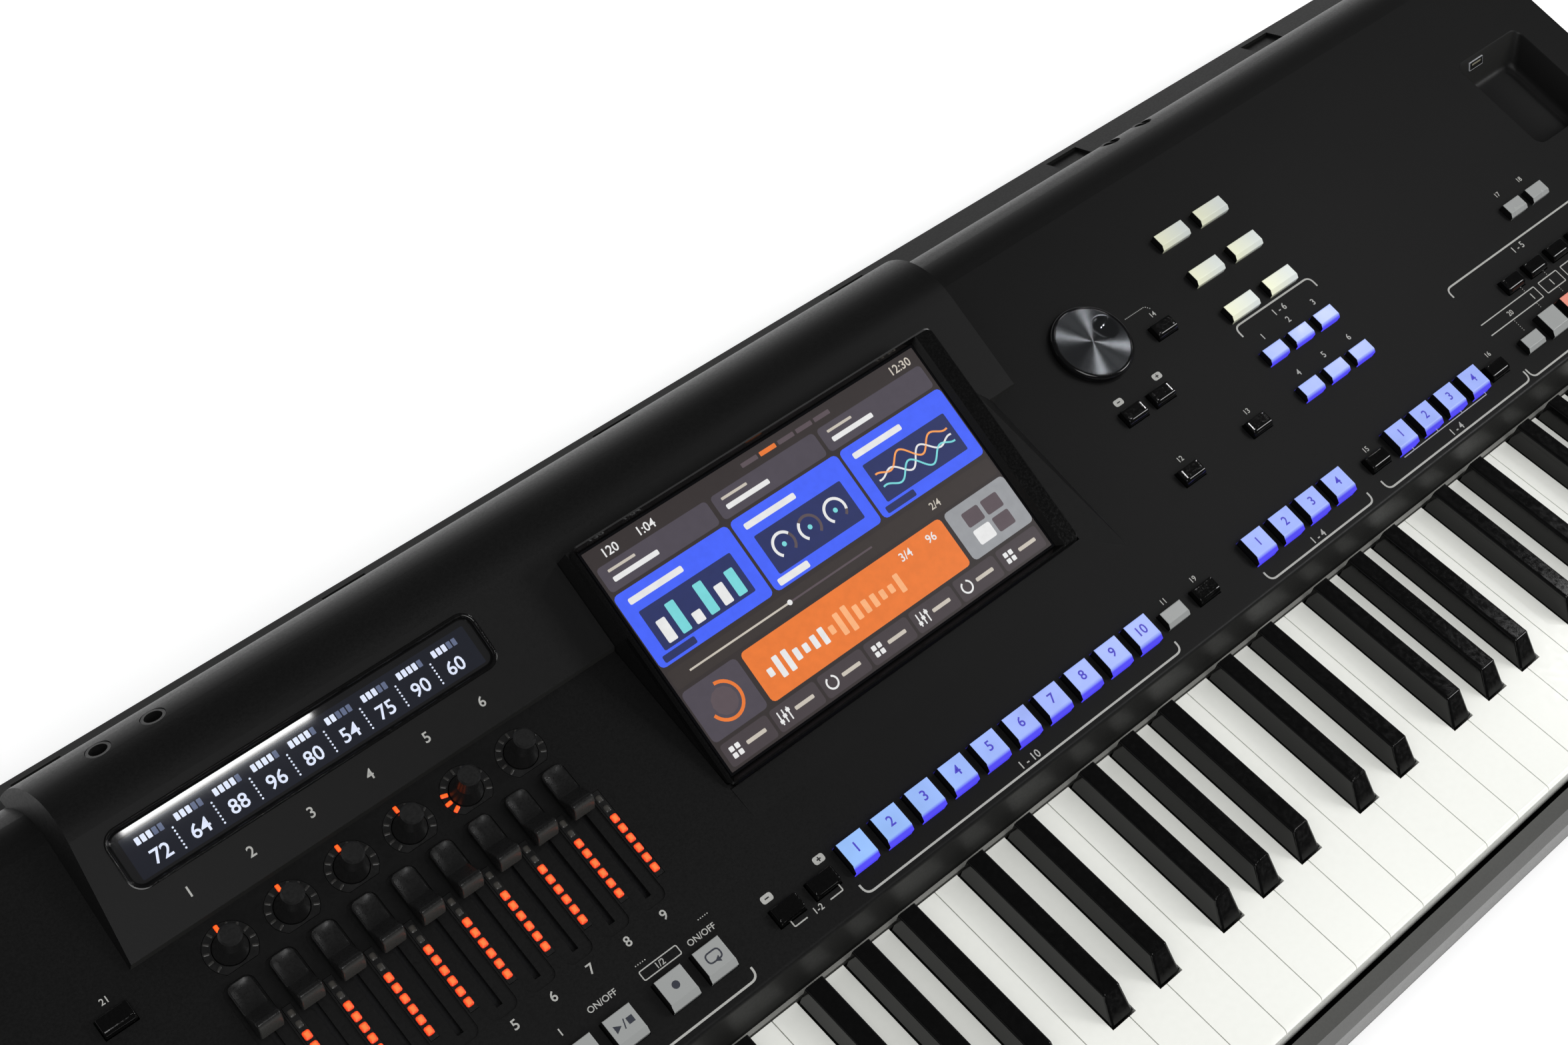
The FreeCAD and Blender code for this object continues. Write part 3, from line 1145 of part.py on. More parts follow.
def black_key(note, n):
    """A black key: a tapered cap with a sloped front on a straight body, and a tail to its pivot."""
    x = black_x(note, joint_x(n))
    top = d.key_top_height
    front = key_front_y + d.black_front_setback
    back = key_front_y + d.black_back_setback
    half = black_width / 2
    half_top = black_top_width / 2

    def outline(half_width, y_from, z):
        corners = [V(x - half_width, y_from, z), V(x + half_width, y_from, z), V(x + half_width, back, z),
                   V(x - half_width, back, z)]
        return Part.makePolygon(corners + corners[:1])

    base = block(x - half, x + half, front, back, top - d.black_depth, top)
    cap = Part.makeLoft([outline(half, front, top),
                         outline(half_top, front + d.black_slope, top + d.black_rise)], True, True)
    ease = [e for e in cap.Edges
            if e.CenterOfMass.z > top + d.black_round and e.CenterOfMass.y < back - d.black_round]
    cap = cap.makeFillet(d.black_round, ease)
    tail = block(x - tail_width / 2, x + tail_width / 2, back - d.overrun, pivot_y + d.tail_overhang,
                 tail_foot_z, tail_top_z)
    return base.fuse([cap, tail]).removeSplitter()


def make_keys():
    """Twelve groups of keys, each turning about the pivot line."""
    groups = {note: [] for note in NOTES}
    for n in range(WHITE_KEYS):
        groups[white_note(n)].append(white_key(n))
        if black_after(n):
            groups[black_after(n)].append(black_key(black_after(n), n))
    for note in NOTES:
        feature("keys_" + note, all_of(groups[note]))


def make_buttons():
    """Seven groups of buttons in the panel's own frame."""
    groups = {}
    for group, kind, x, row in button_places():
        groups.setdefault(group, []).append(button(kind, x, row))
    for group, caps in groups.items():
        feature(group, all_of(caps), panel_place)


def slider_cap(x):
    """A cap's side view carried across its width: a low rear pad, a ramp up to a ridge and a leaning nose."""
    near = d.slider_far - d.cap_front_reach
    far = d.slider_far + d.cap_rear_reach
    side = [V(0, near + d.cap_round, d.cap_float), V(0, far, d.cap_float), V(0, far, d.cap_pad_height),
            V(0, far - d.cap_pad_run, d.cap_pad_height), V(0, near + d.cap_nose_lean, d.cap_height),
            V(0, near, d.cap_nose_height)]
    cap = prism(side, x - d.cap_width / 2, x + d.cap_width / 2)
    corners = [e for e in cap.Edges if abs(e.tangentAt(e.FirstParameter).z) > math.cos(slope)
               and e.CenterOfMass.y > far - d.run_gap]
    cap = cap.makeFillet(d.cap_corner, corners)
    ridge = long_edges(cap, lambda p: p.z > d.cap_height - d.run_gap)
    return cap.makeFillet(d.cap_round, ridge)


def make_sliders():
    """Nine slider caps, each on a stem through its slot."""
    for n in range(SLIDERS):
        x = slider_x(n)
        stem = middle_block(x, d.slider_far, d.slider_stem_width, d.slider_stem_run,
                            run_gap_below(d.track_drop), d.cap_float)
        feature(f"slider_{n + 1}", slider_cap(x).fuse(stem).removeSplitter(), panel_place)


def run_gap_below(drop):
    """The end of a stem that stops just above what lies at a depth below the panel."""
    return d.run_gap - drop


def make_knobs():
    """Six knobs, the data dial and the master volume dial, each turned about its shaft."""
    shaft_end = "~run_gap - ~pot_drop"
    knob = [("0", shaft_end), ("~shaft_radius", shaft_end), ("~shaft_radius", "0 - ~wall"),
            ("~knob_foot_radius", "0 - ~wall"),
            ("~knob_foot_radius", "~run_gap"), ("~knob_radius", "~knob_flare"),
            ("~knob_radius", "~knob_height - ~knob_edge"), ("~knob_radius - ~knob_edge", "~knob_height"),
            ("0", "~knob_height")]
    for n in range(KNOBS):
        place = panel_place.multiply(FreeCAD.Placement(V(knob_x(n), d.knob_row, 0), FreeCAD.Rotation()))
        keep(f"knob_{n + 1}", turned_body(f"knob_{n + 1}", knob, place))

    volume = [("0", shaft_end), ("~shaft_radius", shaft_end), ("~shaft_radius", "~dial_float"),
              ("~volume_radius", "~dial_float"),
              ("~volume_radius", "~volume_flare"), ("~volume_top_radius", "~volume_height - ~knob_edge"),
              ("~volume_top_radius - ~knob_edge", "~volume_height"), ("0", "~volume_height")]
    volume_spot = V(left_x + d.volume_inset, d.volume_row, 0)
    place = panel_place.multiply(FreeCAD.Placement(volume_spot, FreeCAD.Rotation()))
    keep("master_volume", turned_body("master_volume", volume, place))

    dial = [("0", shaft_end), ("~shaft_radius", shaft_end), ("~shaft_radius", "~dial_float"),
            ("~dial_radius", "~dial_float"),
            ("~dial_radius", "~dial_flare"), ("~dial_top_radius", "~dial_height"),
            ("~dial_top_radius - ~dial_dish", "~dial_height - ~dial_dish"),
            ("0", "~dial_height - ~dial_dish")]
    place = panel_place.multiply(FreeCAD.Placement(V(at.dial_x, d.dial_row, 0), FreeCAD.Rotation()))
    turned = turned_body("dial_disc", dial, place)
    doc.recompute()
    ball = (d.dimple_radius ** 2 + d.dimple_depth ** 2) / (2 * d.dimple_depth)
    face = d.dial_height - d.dial_dish
    reach = V(at.dial_x, d.dial_row, face + ball - d.dimple_depth) + V(1, 1, 0).normalize() * d.dimple_reach
    dimple = doc.addObject("Part::Sphere", "dial_dimple")
    dimple.Radius = ball
    dimple.Placement = panel_place.multiply(FreeCAD.Placement(reach, FreeCAD.Rotation()))
    cut = doc.addObject("Part::Cut", "data_dial_cut")
    cut.Base = turned
    cut.Tool = dimple
    keep("data_dial", cut)


def make_panel_lights():
    """Lamp strips beside the sliders and the lamp rings round the knobs, flush with the panel."""
    shapes = [lamp_strip(n, 0, -d.wall, 0) for n in range(SLIDERS)]
    for n in range(KNOBS):
        hole = rod(d.knob_foot_radius + d.run_gap, d.wall, V(knob_x(n), d.knob_row, -d.wall))
        shapes.append(ring_plate(knob_x(n), 0, -d.wall, 0).cut(hole))
    feature("panel_lights", all_of(shapes), panel_place)


def make_pots():
    """Slider tracks and rotary controls under the panel, each held by pegs or posts to it."""
    shapes = []
    for n in range(SLIDERS):
        x = slider_x(n)
        track = middle_block(x, track_middle, d.track_width, track_run, -d.track_drop - d.track_depth,
                             -d.track_drop)
        posts = [middle_block(x, track_middle + end * (track_run / 2 + d.peg_radius), d.track_width,
                              2 * d.peg_radius,
                              -d.track_drop - d.track_depth, -d.wall) for end in (-1, 1)]
        shapes.append(track.fuse(posts).removeSplitter())
    for x, row in dials:
        pot = middle_block(x, row, d.pot_width, d.pot_width, -d.pot_drop - d.pot_depth, -d.pot_drop)
        half = d.pot_width / 2
        room = max(half, ring_radius)
        rail = middle_block(x, row, d.pot_width, 2 * (room + d.board_margin), -d.pot_drop - d.pot_depth,
                            -d.pot_drop - d.pot_depth + d.board_thickness)
        posts = [middle_block(x, row + end * (room + d.board_margin - d.peg_radius), d.pot_width,
                              2 * d.peg_radius,
                              -d.pot_drop - d.pot_depth, -d.wall) for end in (-1, 1)]
        shapes.append(pot.fuse([rail] + posts).removeSplitter())
    feature("control_pots", all_of(shapes), panel_place)


def make_boards():
    """Switch boards under the button fields, hung on pegs from the panel."""
    top = -d.board_drop
    low = top - d.board_thickness
    boards = []
    for group, kind, first, row, pitch, count in BUTTON_ROWS:
        width, depth, _, _ = BUTTON_KINDS[kind]
        x_from = first - width / 2 - d.board_margin / 2
        x_to = first + (count - 1) * pitch + width / 2 + d.board_margin / 2
        board = block(x_from, x_to, row - depth / 2 - d.board_margin, row + depth / 2 + d.board_margin,
                      low, top)
        far = row + depth / 2 + d.board_margin - d.peg_radius
        near = row - depth / 2 - d.board_margin + d.peg_radius
        ends = sorted({first, first + (count - 1) * pitch})
        pegs = [rod(d.peg_radius, -d.wall - low, V(x, y, low)) for x in ends for y in (near, far)]
        boards.append(board.fuse(pegs).removeSplitter())
    joined = boards[0].fuse(boards[1:]).removeSplitter()
    feature("panel_boards", all_of(joined.Solids), panel_place)


def make_inside():
    """Main circuit board on its pegs and the power supply on the case floor."""
    y_far = rear_y - d.wall - d.jack_body_length - d.main_board_setback
    low = floor_z + d.main_board_lift
    x_from = at.main_board_x - d.main_board_length / 2
    x_to = at.main_board_x + d.main_board_length / 2
    y_from = pivot_y + d.tail_overhang + d.main_board_gap
    board = block(x_from, x_to, y_from, y_far, low, low + d.board_thickness)
    inset = d.board_margin
    pegs = [rod(d.peg_radius, d.main_board_lift, V(x, y, floor_z)) for x in (x_from + inset, x_to - inset)
            for y in (y_from + inset, y_far - inset)]
    feature("main_board", board.fuse(pegs).removeSplitter())

    supply = doc.addObject("Part::Box", "power_supply")
    supply.setExpression("Length", "Sizes.supply_length")
    supply.setExpression("Width", "Sizes.supply_width")
    supply.setExpression("Height", "Sizes.supply_height")
    supply.setExpression("Placement.Base.x",
                         "Sizes.supply_x_share * Sizes.overall_length - Sizes.supply_length / 2")
    supply.setExpression("Placement.Base.y",
                         "Sizes.overall_depth / 2 - Sizes.wall - Sizes.supply_setback - Sizes.supply_width")
    supply.setExpression("Placement.Base.z", "Sizes.foot_height + Sizes.wall")
    keep("power_supply", supply)


def make_feet():
    """Four rubber feet under the floor, and two lines of screws up into it."""
    feet = []
    for x in (left_x + d.foot_inset_x, right_x - d.foot_inset_x):
        for y in (front_y + d.foot_inset_y, rear_y - d.foot_inset_y):
            feet.append(rod(d.foot_radius, d.foot_height, V(x, y, 0)))
    feature("rubber_feet", all_of(feet))
    screws = []
    step = (d.overall_length - 2 * d.screw_inset_y) / (SCREWS_PER_LINE - 1)
    for y in (front_y + d.screw_inset_y / 2, rear_y - d.screw_inset_y / 2):
        for n in range(SCREWS_PER_LINE):
            screws.append(rod(d.screw_head_radius, d.screw_head_height,
                              V(left_x + d.screw_inset_y + n * step, y,
                                d.foot_height - d.screw_head_height)))
    feature("case_screws", all_of(screws))


def make_rest_sockets():
    """Four sockets in the rear roll-off that take the rods of a music rest."""
    sockets = []
    for x in rest_places:
        collar = rod(d.rest_collar_radius, rest_depth, V(0, 0, -rest_depth))
        bore = rod(d.rest_bore_radius, d.rest_bore_length, V(0, 0, -d.rest_bore_length))
        socket = collar.cut(bore)
        socket.Placement = rest_frame(x)
        sockets.append(socket)
    feature("music_rest_sockets", all_of(sockets))


make_bottom_case()
make_top_case()
make_hood()
make_screen()
make_ends()
make_joystick()
make_rail()
make_keybed()
make_keys()
make_buttons()
make_sliders()
make_knobs()
make_panel_lights()
make_pots()
make_boards()
make_inside()
make_sockets()
make_feet()
make_rest_sockets()
doc.recompute()

faults = [obj.Name for obj in doc.Objects if "Invalid" in obj.State or "Error" in obj.State]
faults += [obj.Label for obj in parts if obj.Shape.isNull() or not obj.Shape.isValid()]
if faults:
    raise RuntimeError("these did not build: " + ", ".join(faults))
os.makedirs("parts", exist_ok=True)
for obj in parts:
    obj.Shape.exportStep(f"parts/{obj.Label}.step")
print(len(parts), "parts written")
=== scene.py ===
import json
import math

import bpy
import numpy as np
from mathutils import Matrix, Vector


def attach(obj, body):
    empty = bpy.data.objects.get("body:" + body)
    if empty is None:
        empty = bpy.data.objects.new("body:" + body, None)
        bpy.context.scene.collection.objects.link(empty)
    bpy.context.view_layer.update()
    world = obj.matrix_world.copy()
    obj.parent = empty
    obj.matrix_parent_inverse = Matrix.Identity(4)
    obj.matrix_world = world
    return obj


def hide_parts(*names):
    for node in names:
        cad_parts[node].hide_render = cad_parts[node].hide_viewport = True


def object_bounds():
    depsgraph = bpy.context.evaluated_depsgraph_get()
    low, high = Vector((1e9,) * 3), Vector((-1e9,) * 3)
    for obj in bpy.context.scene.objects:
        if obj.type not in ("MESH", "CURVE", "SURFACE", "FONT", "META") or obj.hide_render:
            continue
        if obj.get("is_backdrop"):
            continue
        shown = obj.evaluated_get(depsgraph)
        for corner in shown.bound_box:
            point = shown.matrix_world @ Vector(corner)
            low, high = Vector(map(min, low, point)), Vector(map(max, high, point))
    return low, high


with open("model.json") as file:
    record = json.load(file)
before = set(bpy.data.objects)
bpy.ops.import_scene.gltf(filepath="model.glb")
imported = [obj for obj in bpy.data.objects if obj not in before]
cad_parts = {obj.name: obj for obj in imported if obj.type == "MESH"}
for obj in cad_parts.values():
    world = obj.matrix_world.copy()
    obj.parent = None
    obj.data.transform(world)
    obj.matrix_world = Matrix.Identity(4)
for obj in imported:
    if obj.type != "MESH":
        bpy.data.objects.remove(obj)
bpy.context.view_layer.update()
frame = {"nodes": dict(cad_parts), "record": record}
nodes = frame["nodes"]
scene = bpy.context.scene
scene.view_settings.view_transform = "Standard"

# Working surfaces, in millimetres: where each begins and how steeply it climbs to the back
PANEL = ((0.0, -64.0, 84.0), 10.0)
HOOD = ((0.0, 88.0, 114.002), 23.0)
SCREEN = ((15.4, 66.5, 121.0), 23.4)

# Controls on the panel, in millimetres: the X of each, from the first X and the spacing
SLIDERS = -299.7 + 19.07 * np.arange(9)
KNOBS = -293.4 + 28.46 * np.arange(6)
REGISTRATION = -63.6 + 20 * np.arange(10)
ONE_TOUCH = 199.3 + 20 * np.arange(4)
PADS = 309.5 + 20 * np.arange(4)
STYLES = -480 + 20 * np.arange(12)

# Rows on the panel, how far the print on a button stands over it, and the middle of the data dial
KNOB_ROW = 139.5
FRONT_ROW = 21.8
BUTTON_TOP = 4.66
DIAL = (211.7, 150.4)

# Middle of the long display on the hood
LONG_DISPLAY = (-223.0, 35.0)

# Leaning rear wall of the recess at the right, about the middle of its socket
RECESS = ((551.5, 100.03, 108.08), 68.8)


def linear(red, green, blue):
    """A colour as seen on a screen, 0 to 255, turned into the light values that shaders use."""
    c = np.array([red, green, blue], float) / 255
    c = np.where(c <= 0.04045, c / 12.92, ((c + 0.055) / 1.055) ** 2.4)
    return (*[float(v) for v in c], 1.0)


def put_on(surface, across, along, up):
    """Points of a working surface in metres: its start, plus across in X, plus along times the climbing
    direction (cos a, sin a), plus up times the normal (-sin a, cos a)."""
    (x, y, z), degrees = surface
    a = math.radians(degrees)
    across, along, up = np.broadcast_arrays(across, along, up)
    return np.stack([x + across, y + along * math.cos(a) - up * math.sin(a),
                     z + along * math.sin(a) + up * math.cos(a)], -1) / 1000


# Meshes

def mesh_piece(name, points, face_sets, body, finish, tint=None, uv=None, smooth=False):
    """A mesh piece from whole arrays: points in metres, sets of faces with a corner count each, a colour for
    each point and a place on the pattern for each corner."""
    points = np.asarray(points, np.float32).reshape(-1, 3)
    face_sets = [np.asarray(f, np.int32) for f in face_sets if len(f)]
    corners = np.concatenate([f.ravel() for f in face_sets])
    totals = np.concatenate([np.full(len(f), f.shape[1], np.int32) for f in face_sets])
    mesh = bpy.data.meshes.new(name)
    mesh.vertices.add(len(points))
    mesh.vertices.foreach_set("co", points.ravel())
    mesh.loops.add(len(corners))
    mesh.loops.foreach_set("vertex_index", corners)
    mesh.polygons.add(len(totals))
    mesh.polygons.foreach_set("loop_start", np.concatenate([[0], np.cumsum(totals)[:-1]]).astype(np.int32))
    mesh.polygons.foreach_set("use_smooth", np.full(len(totals), smooth))
    if tint is not None:
        layer = mesh.attributes.new("tint", "FLOAT_COLOR", "POINT")
        layer.data.foreach_set("color", np.asarray(tint, np.float32).ravel())
    if uv is not None:
        layer = mesh.uv_layers.new(name="UVMap")
        layer.data.foreach_set("uv", np.asarray(uv, np.float32).ravel())
    mesh.update(calc_edges=True)
    mesh.validate()
    if smooth:
        mesh.set_sharp_from_angle(angle=math.radians(35))
    obj = bpy.data.objects.new(name, mesh)
    scene.collection.objects.link(obj)
    mesh.materials.append(finish)
    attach(obj, body)
    return obj


def grid_faces(rows, columns, wrap=False):
    """The quads of a grid of points, row by row; wrap joins the last column to the first."""
    i, j = np.meshgrid(np.arange(rows - 1), np.arange(columns if wrap else columns - 1), indexing="ij")
    k = (j + 1) % columns
    return np.stack([i * columns + j, i * columns + k, (i + 1) * columns + k, (i + 1) * columns + j],
                    -1).reshape(-1, 4)


def rounded(width, depth, corner, steps=4):
    """Outline of a rounded rectangle about its middle, anticlockwise: an arc of the corner radius about each
    corner's own centre."""
    turn = np.radians(np.repeat([0, 90, 180, 270], steps) + np.tile(np.linspace(0, 90, steps), 4))
    side = np.repeat([[1, 1], [-1, 1], [-1, -1], [1, -1]], steps, axis=0)
    r = max(min(corner, width / 2 - 0.01, depth / 2 - 0.01), 0.04)
    return side * [width / 2 - r, depth / 2 - r] + r * np.stack([np.cos(turn), np.sin(turn)], -1)


def lenses(surface, centres, size, corner, rings, turns=0.0):
    """Small lens blocks, many at once: a rounded rectangle carried up through rings of (inset, height),
    turned about its middle and closed by one flat top. Gives the points and the faces."""
    outline = np.stack([rounded(size[0] - 2 * i, size[1] - 2 * i, corner - i) for i, h in rings])
    heights = np.array([h for i, h in rings])[None, :, None]
    centres = np.atleast_2d(centres)
    turns = np.broadcast_to(turns, len(centres))[:, None, None]
    c, s = np.cos(turns), np.sin(turns)
    u, v = outline[None, ..., 0], outline[None, ..., 1]
    x, y = centres[:, 0, None, None], centres[:, 1, None, None]
    points = put_on(surface, x + c * u - s * v, y + s * u + c * v, heights)
    count, edge = len(rings), outline.shape[1]
    first = (np.arange(len(centres)) * count * edge)[:, None, None]
    sides = (grid_faces(count, edge, True)[None] + first).reshape(-1, 4)
    tops = np.arange(edge)[None] + (count - 1) * edge + first[:, :, 0]
    return points, [sides, tops]


def bent(corners, radius):
    """A path with its corners rounded: each corner is replaced by a quadratic arc between the points one
    radius before it and after it."""
    corners = np.asarray(corners, float)
    t = np.linspace(0, 1, 7)[:, None]
    parts = [corners[:1]]
    for a, b, c in zip(corners, corners[1:], corners[2:]):
        start = b + (a - b) / np.linalg.norm(a - b) * radius
        end = b + (c - b) / np.linalg.norm(c - b) * radius
        parts.append((1 - t) ** 2 * start + 2 * t * (1 - t) * b + t ** 2 * end)
    return np.concatenate(parts + [corners[-1:]])


def arc(middle, radius, start, end, steps=24):
    """Points on a circle from one angle to another, in degrees clockwise from the back."""
    a = np.radians(np.linspace(start, end, steps))
    return np.stack([middle[0] + radius * np.sin(a), middle[1] + radius * np.cos(a)], -1)


def carried(outline, half, edge, count=128):
    """A closed side outline (along, up) carried across from -half to half. Near both ends it draws in by
    r - sqrt(r^2 - t^2), which rounds the edges. Gives across, along, up and the faces."""
    run = np.concatenate([[0], np.cumsum(np.linalg.norm(np.diff(outline, axis=0), axis=1))])
    share = np.linspace(0, run[-1], count + 1)[:-1]
    s, n = np.interp(share, run, outline[:, 0]), np.interp(share, run, outline[:, 1])
    way = np.stack([np.roll(s, -1) - np.roll(s, 1), np.roll(n, -1) - np.roll(n, 1)])
    way = way / np.linalg.norm(way, axis=0)
    ends = half - edge + edge * np.array([0, 0.35, 0.65, 0.87, 0.97, 1.0])
    across = np.concatenate([-ends[::-1], np.linspace(-1, 1, 7)[1:-1] * (half - edge), ends])[:, None]
    inset = edge - np.sqrt(edge ** 2 - np.clip(np.abs(across) - half + edge, 0, edge) ** 2)
    sides = grid_faces(len(across), count, True)
    caps = np.stack([np.arange(count)[::-1], np.arange(count) + (len(across) - 1) * count])
    return across, s - inset * way[1], n + inset * way[0], [sides, caps]


# Height of the default font's capitals, and how much its strokes are thickened, as shares of its size
CAPITAL_SHARE = 0.73
STROKE_SHARE = 0.012
glyphs = {}


def glyph(text):
    """A word as flat triangles, its capitals one unit tall, about its middle, read once from a text curve."""
    if text not in glyphs:
        curve = bpy.data.curves.new("word", "FONT")
        curve.body = text
        curve.align_x, curve.align_y = "CENTER", "CENTER"
        curve.offset = STROKE_SHARE
        curve.resolution_u = 3
        obj = bpy.data.objects.new("word", curve)
        mesh = bpy.data.meshes.new_from_object(obj)
        mesh.calc_loop_triangles()
        points = np.empty(len(mesh.vertices) * 3, np.float32)
        faces = np.empty(len(mesh.loop_triangles) * 3, np.int32)
        mesh.vertices.foreach_get("co", points)
        mesh.loop_triangles.foreach_get("vertices", faces)
        points = points.reshape(-1, 3)[:, :2]
        middle = (points.min(0) + points.max(0)) / 2
        glyphs[text] = ((points - middle) / CAPITAL_SHARE, faces.reshape(-1, 3))
        bpy.data.objects.remove(obj)
        bpy.data.curves.remove(curve)
        bpy.data.meshes.remove(mesh)
    return glyphs[text]


class Marks:
    """Flat printed or lit marks on one working surface, joined into one mesh with a colour for each."""

    def __init__(self, surface):
        self.surface = surface
        self.points, self.faces, self.tints, self.count = [], [], [], 0

    def add(self, flat, faces, up, tint):
        self.points.append(put_on(self.surface, flat[:, 0], flat[:, 1], up))
        self.faces.append(np.asarray(faces) + self.count)
        self.tints.append(np.broadcast_to(tint, (len(flat), 4)))
        self.count += len(flat)

    def tile(self, across, along, width, depth, corner, tint, up=0.05):
        outline = rounded(width, depth, corner) + [across, along]
        self.add(outline, [np.arange(len(outline))], up, tint)

    def line(self, path, width, tint, up=0.05):
        """A stroke: the path carried half the width to its left and to its right."""
        path = np.asarray(path, float)
        way = np.gradient(path, axis=0)
        way = way / np.linalg.norm(way, axis=1, keepdims=True)
        left = np.stack([-way[:, 1], way[:, 0]], -1) * width / 2
        n = len(path)
        i = np.arange(n - 1)
        quads = np.stack([i, i + 1, n + i + 1, n + i], -1)
        self.add(np.concatenate([path - left, path + left]), quads, up, tint)

    def word(self, text, across, along, tall, tint, up=0.05):
        flat, faces = glyph(text)
        self.add(flat * tall + [across, along], faces, up, tint)

    def dots(self, start, end, count, size, tint, up=0.05):
        for x, s in np.linspace(start, end, count):
            self.tile(x, s, size, size, size / 2, tint, up)

    def piece(self, name, body, slot, finish):
        return mesh_piece(name, np.concatenate(self.points), self.faces, body, finish,
                          np.concatenate(self.tints))


# Camera, solved from the joints of the keys: its place in metres, its axes and its lens

CAMERA_PLACE = (-0.449365, -0.322337, 0.912228)
CAMERA_AXES = Matrix(((0.7433337, 0.4872094, -0.4583471), (-0.6632691, 0.6257169, -0.4105514),
                      (0.086771, 0.6091841, 0.7882674)))
LENS = 50.982

camera = bpy.data.objects.new("camera", bpy.data.cameras.new("camera"))
scene.collection.objects.link(camera)
camera.data.sensor_width = 36
camera.data.lens = LENS
camera.matrix_world = Matrix.Translation(CAMERA_PLACE) @ CAMERA_AXES.to_4x4()
camera.data.clip_start = 0.02
camera.data.clip_end = 60
scene.camera = camera


# Shaders

def feed(tree, socket, value):
    """Sets a socket to a value, or joins it to another node's output."""
    if isinstance(value, bpy.types.NodeSocket):
        tree.links.new(value, socket)
    else:
        socket.default_value = value


def add_node(tree, kind, settings=(), **inputs):
    """A node with its settings and with its inputs set or joined by name."""
    made = tree.nodes.new(kind)
    for key, value in settings:
        setattr(made, key, value)
    for key, value in inputs.items():
        feed(tree, made.inputs[key.replace("_", " ")], value)
    return made


class Finish:
    """A material with its tree, its main shader and short ways to add nodes."""

    def __init__(self, name, roughness=0.5, specular=0.5, metallic=0.0):
        self.material = bpy.data.materials.new(name)
        self.material.use_nodes = True
        self.tree = self.material.node_tree
        self.tree.nodes.clear()
        self.out = self.tree.nodes.new("ShaderNodeOutputMaterial")
        self.shader = self.tree.nodes.new("ShaderNodeBsdfPrincipled")
        self.tree.links.new(self.shader.outputs["BSDF"], self.out.inputs["Surface"])
        self.shader.inputs["Roughness"].default_value = roughness
        self.shader.inputs["Specular IOR Level"].default_value = specular
        self.shader.inputs["Metallic"].default_value = metallic
        self.place = self.node("ShaderNodeTexCoord").outputs["Object"]

    def node(self, kind, settings=(), **inputs):
        return add_node(self.tree, kind, settings, **inputs)

    def feed(self, socket, value):
        feed(self.tree, socket, value)

    def noise(self, scale, detail=2.0):
        return self.node("ShaderNodeTexNoise", Vector=self.place, Scale=scale, Detail=detail).outputs["Fac"]

    def math(self, operation, a, b=0.0, c=0.0):
        made = self.node("ShaderNodeMath", [("operation", operation)])
        for socket, value in zip(made.inputs, (a, b, c)):
            self.feed(socket, value)
        return made.outputs["Value"]

    def spread(self, value, low, high, start=0.0, finish=1.0):
        """A value between start and finish carried over to between low and high."""
        made = self.node("ShaderNodeMapRange", Value=value)
        for key, number in (("From Min", start), ("From Max", finish), ("To Min", low), ("To Max", high)):
            self.feed(made.inputs[key], number)
        return made.outputs["Result"]

    def blend(self, share, first, second):
        made = self.node("ShaderNodeMix", [("data_type", "RGBA")])
        for socket, value in zip((made.inputs[0], made.inputs[6], made.inputs[7]), (share, first, second)):
            self.feed(socket, value)
        return made.outputs[2]

    def bump(self, height, distance, strength=1.0):
        made = self.node("ShaderNodeBump", Height=height, Distance=distance, Strength=strength)
        self.feed(self.shader.inputs["Normal"], made.outputs["Normal"])

    def colour(self, value):
        self.feed(self.shader.inputs["Base Color"], value)

    def glow(self, colour, strength):
        self.feed(self.shader.inputs["Emission Color"], colour)
        self.feed(self.shader.inputs["Emission Strength"], strength)

    def at(self, axis):
        """The X, Y or Z of the surface, in metres."""
        return self.node("ShaderNodeSeparateXYZ", Vector=self.place).outputs[axis]

    def facing(self, axis):
        """How far the surface faces along X, Y or Z, -1 to 1."""
        normal = self.node("ShaderNodeNewGeometry").outputs["Normal"]
        return self.node("ShaderNodeSeparateXYZ", Vector=normal).outputs[axis]

    def sides(self):
        """1 on the left and right sides of a button and 0 on its top, front and back."""
        return self.spread(self.math("ABSOLUTE", self.facing("X")), 0.0, 1.0, 0.55, 0.75)

    def above_panel(self):
        """Height over the control panel in metres: the place measured along the panel's normal."""
        a = math.radians(PANEL[1])
        normal = (0.0, -math.sin(a), math.cos(a))
        start = sum(n * p for n, p in zip(normal, PANEL[0])) / 1000
        made = self.node("ShaderNodeVectorMath", [("operation", "DOT_PRODUCT")])
        self.feed(made.inputs[0], self.place)
        self.feed(made.inputs[1], normal)
        return self.math("SUBTRACT", made.outputs["Value"], start)


def moulded(name, dark, pale, roughness, grain=900.0, depth=0.00004, specular=0.5, front=None):
    """Moulded plastic: a fine grain in the surface and faint cloudy changes of tone and gloss. Where a front
    colour is given, faces turned to the player take it as a painted lighter tone for the light that falls on
    them."""
    f = Finish(name, roughness, specular)
    fine = f.noise(grain, 2.0)
    tone = f.math("ADD", f.math("MULTIPLY", f.noise(9.0, 3.0), 0.55), f.math("MULTIPLY", fine, 0.45))
    body = f.blend(f.spread(tone, 0.0, 1.0, 0.3, 0.7), dark, pale)
    if front:
        # Painted light: faces turned to the player are blended to the lighter front colour, as if lit from
        # the front.
        body = f.blend(f.spread(f.facing("Y"), 1.0, 0.0, -0.95, -0.6), body, front)
    f.colour(body)
    f.feed(f.shader.inputs["Roughness"], f.spread(fine, roughness - 0.05, roughness + 0.05, 0.3, 0.7))
    f.bump(fine, depth, 0.6)
    return f.material


GLOSS_BLACK = (0.004, 0.004, 0.004, 1.0)


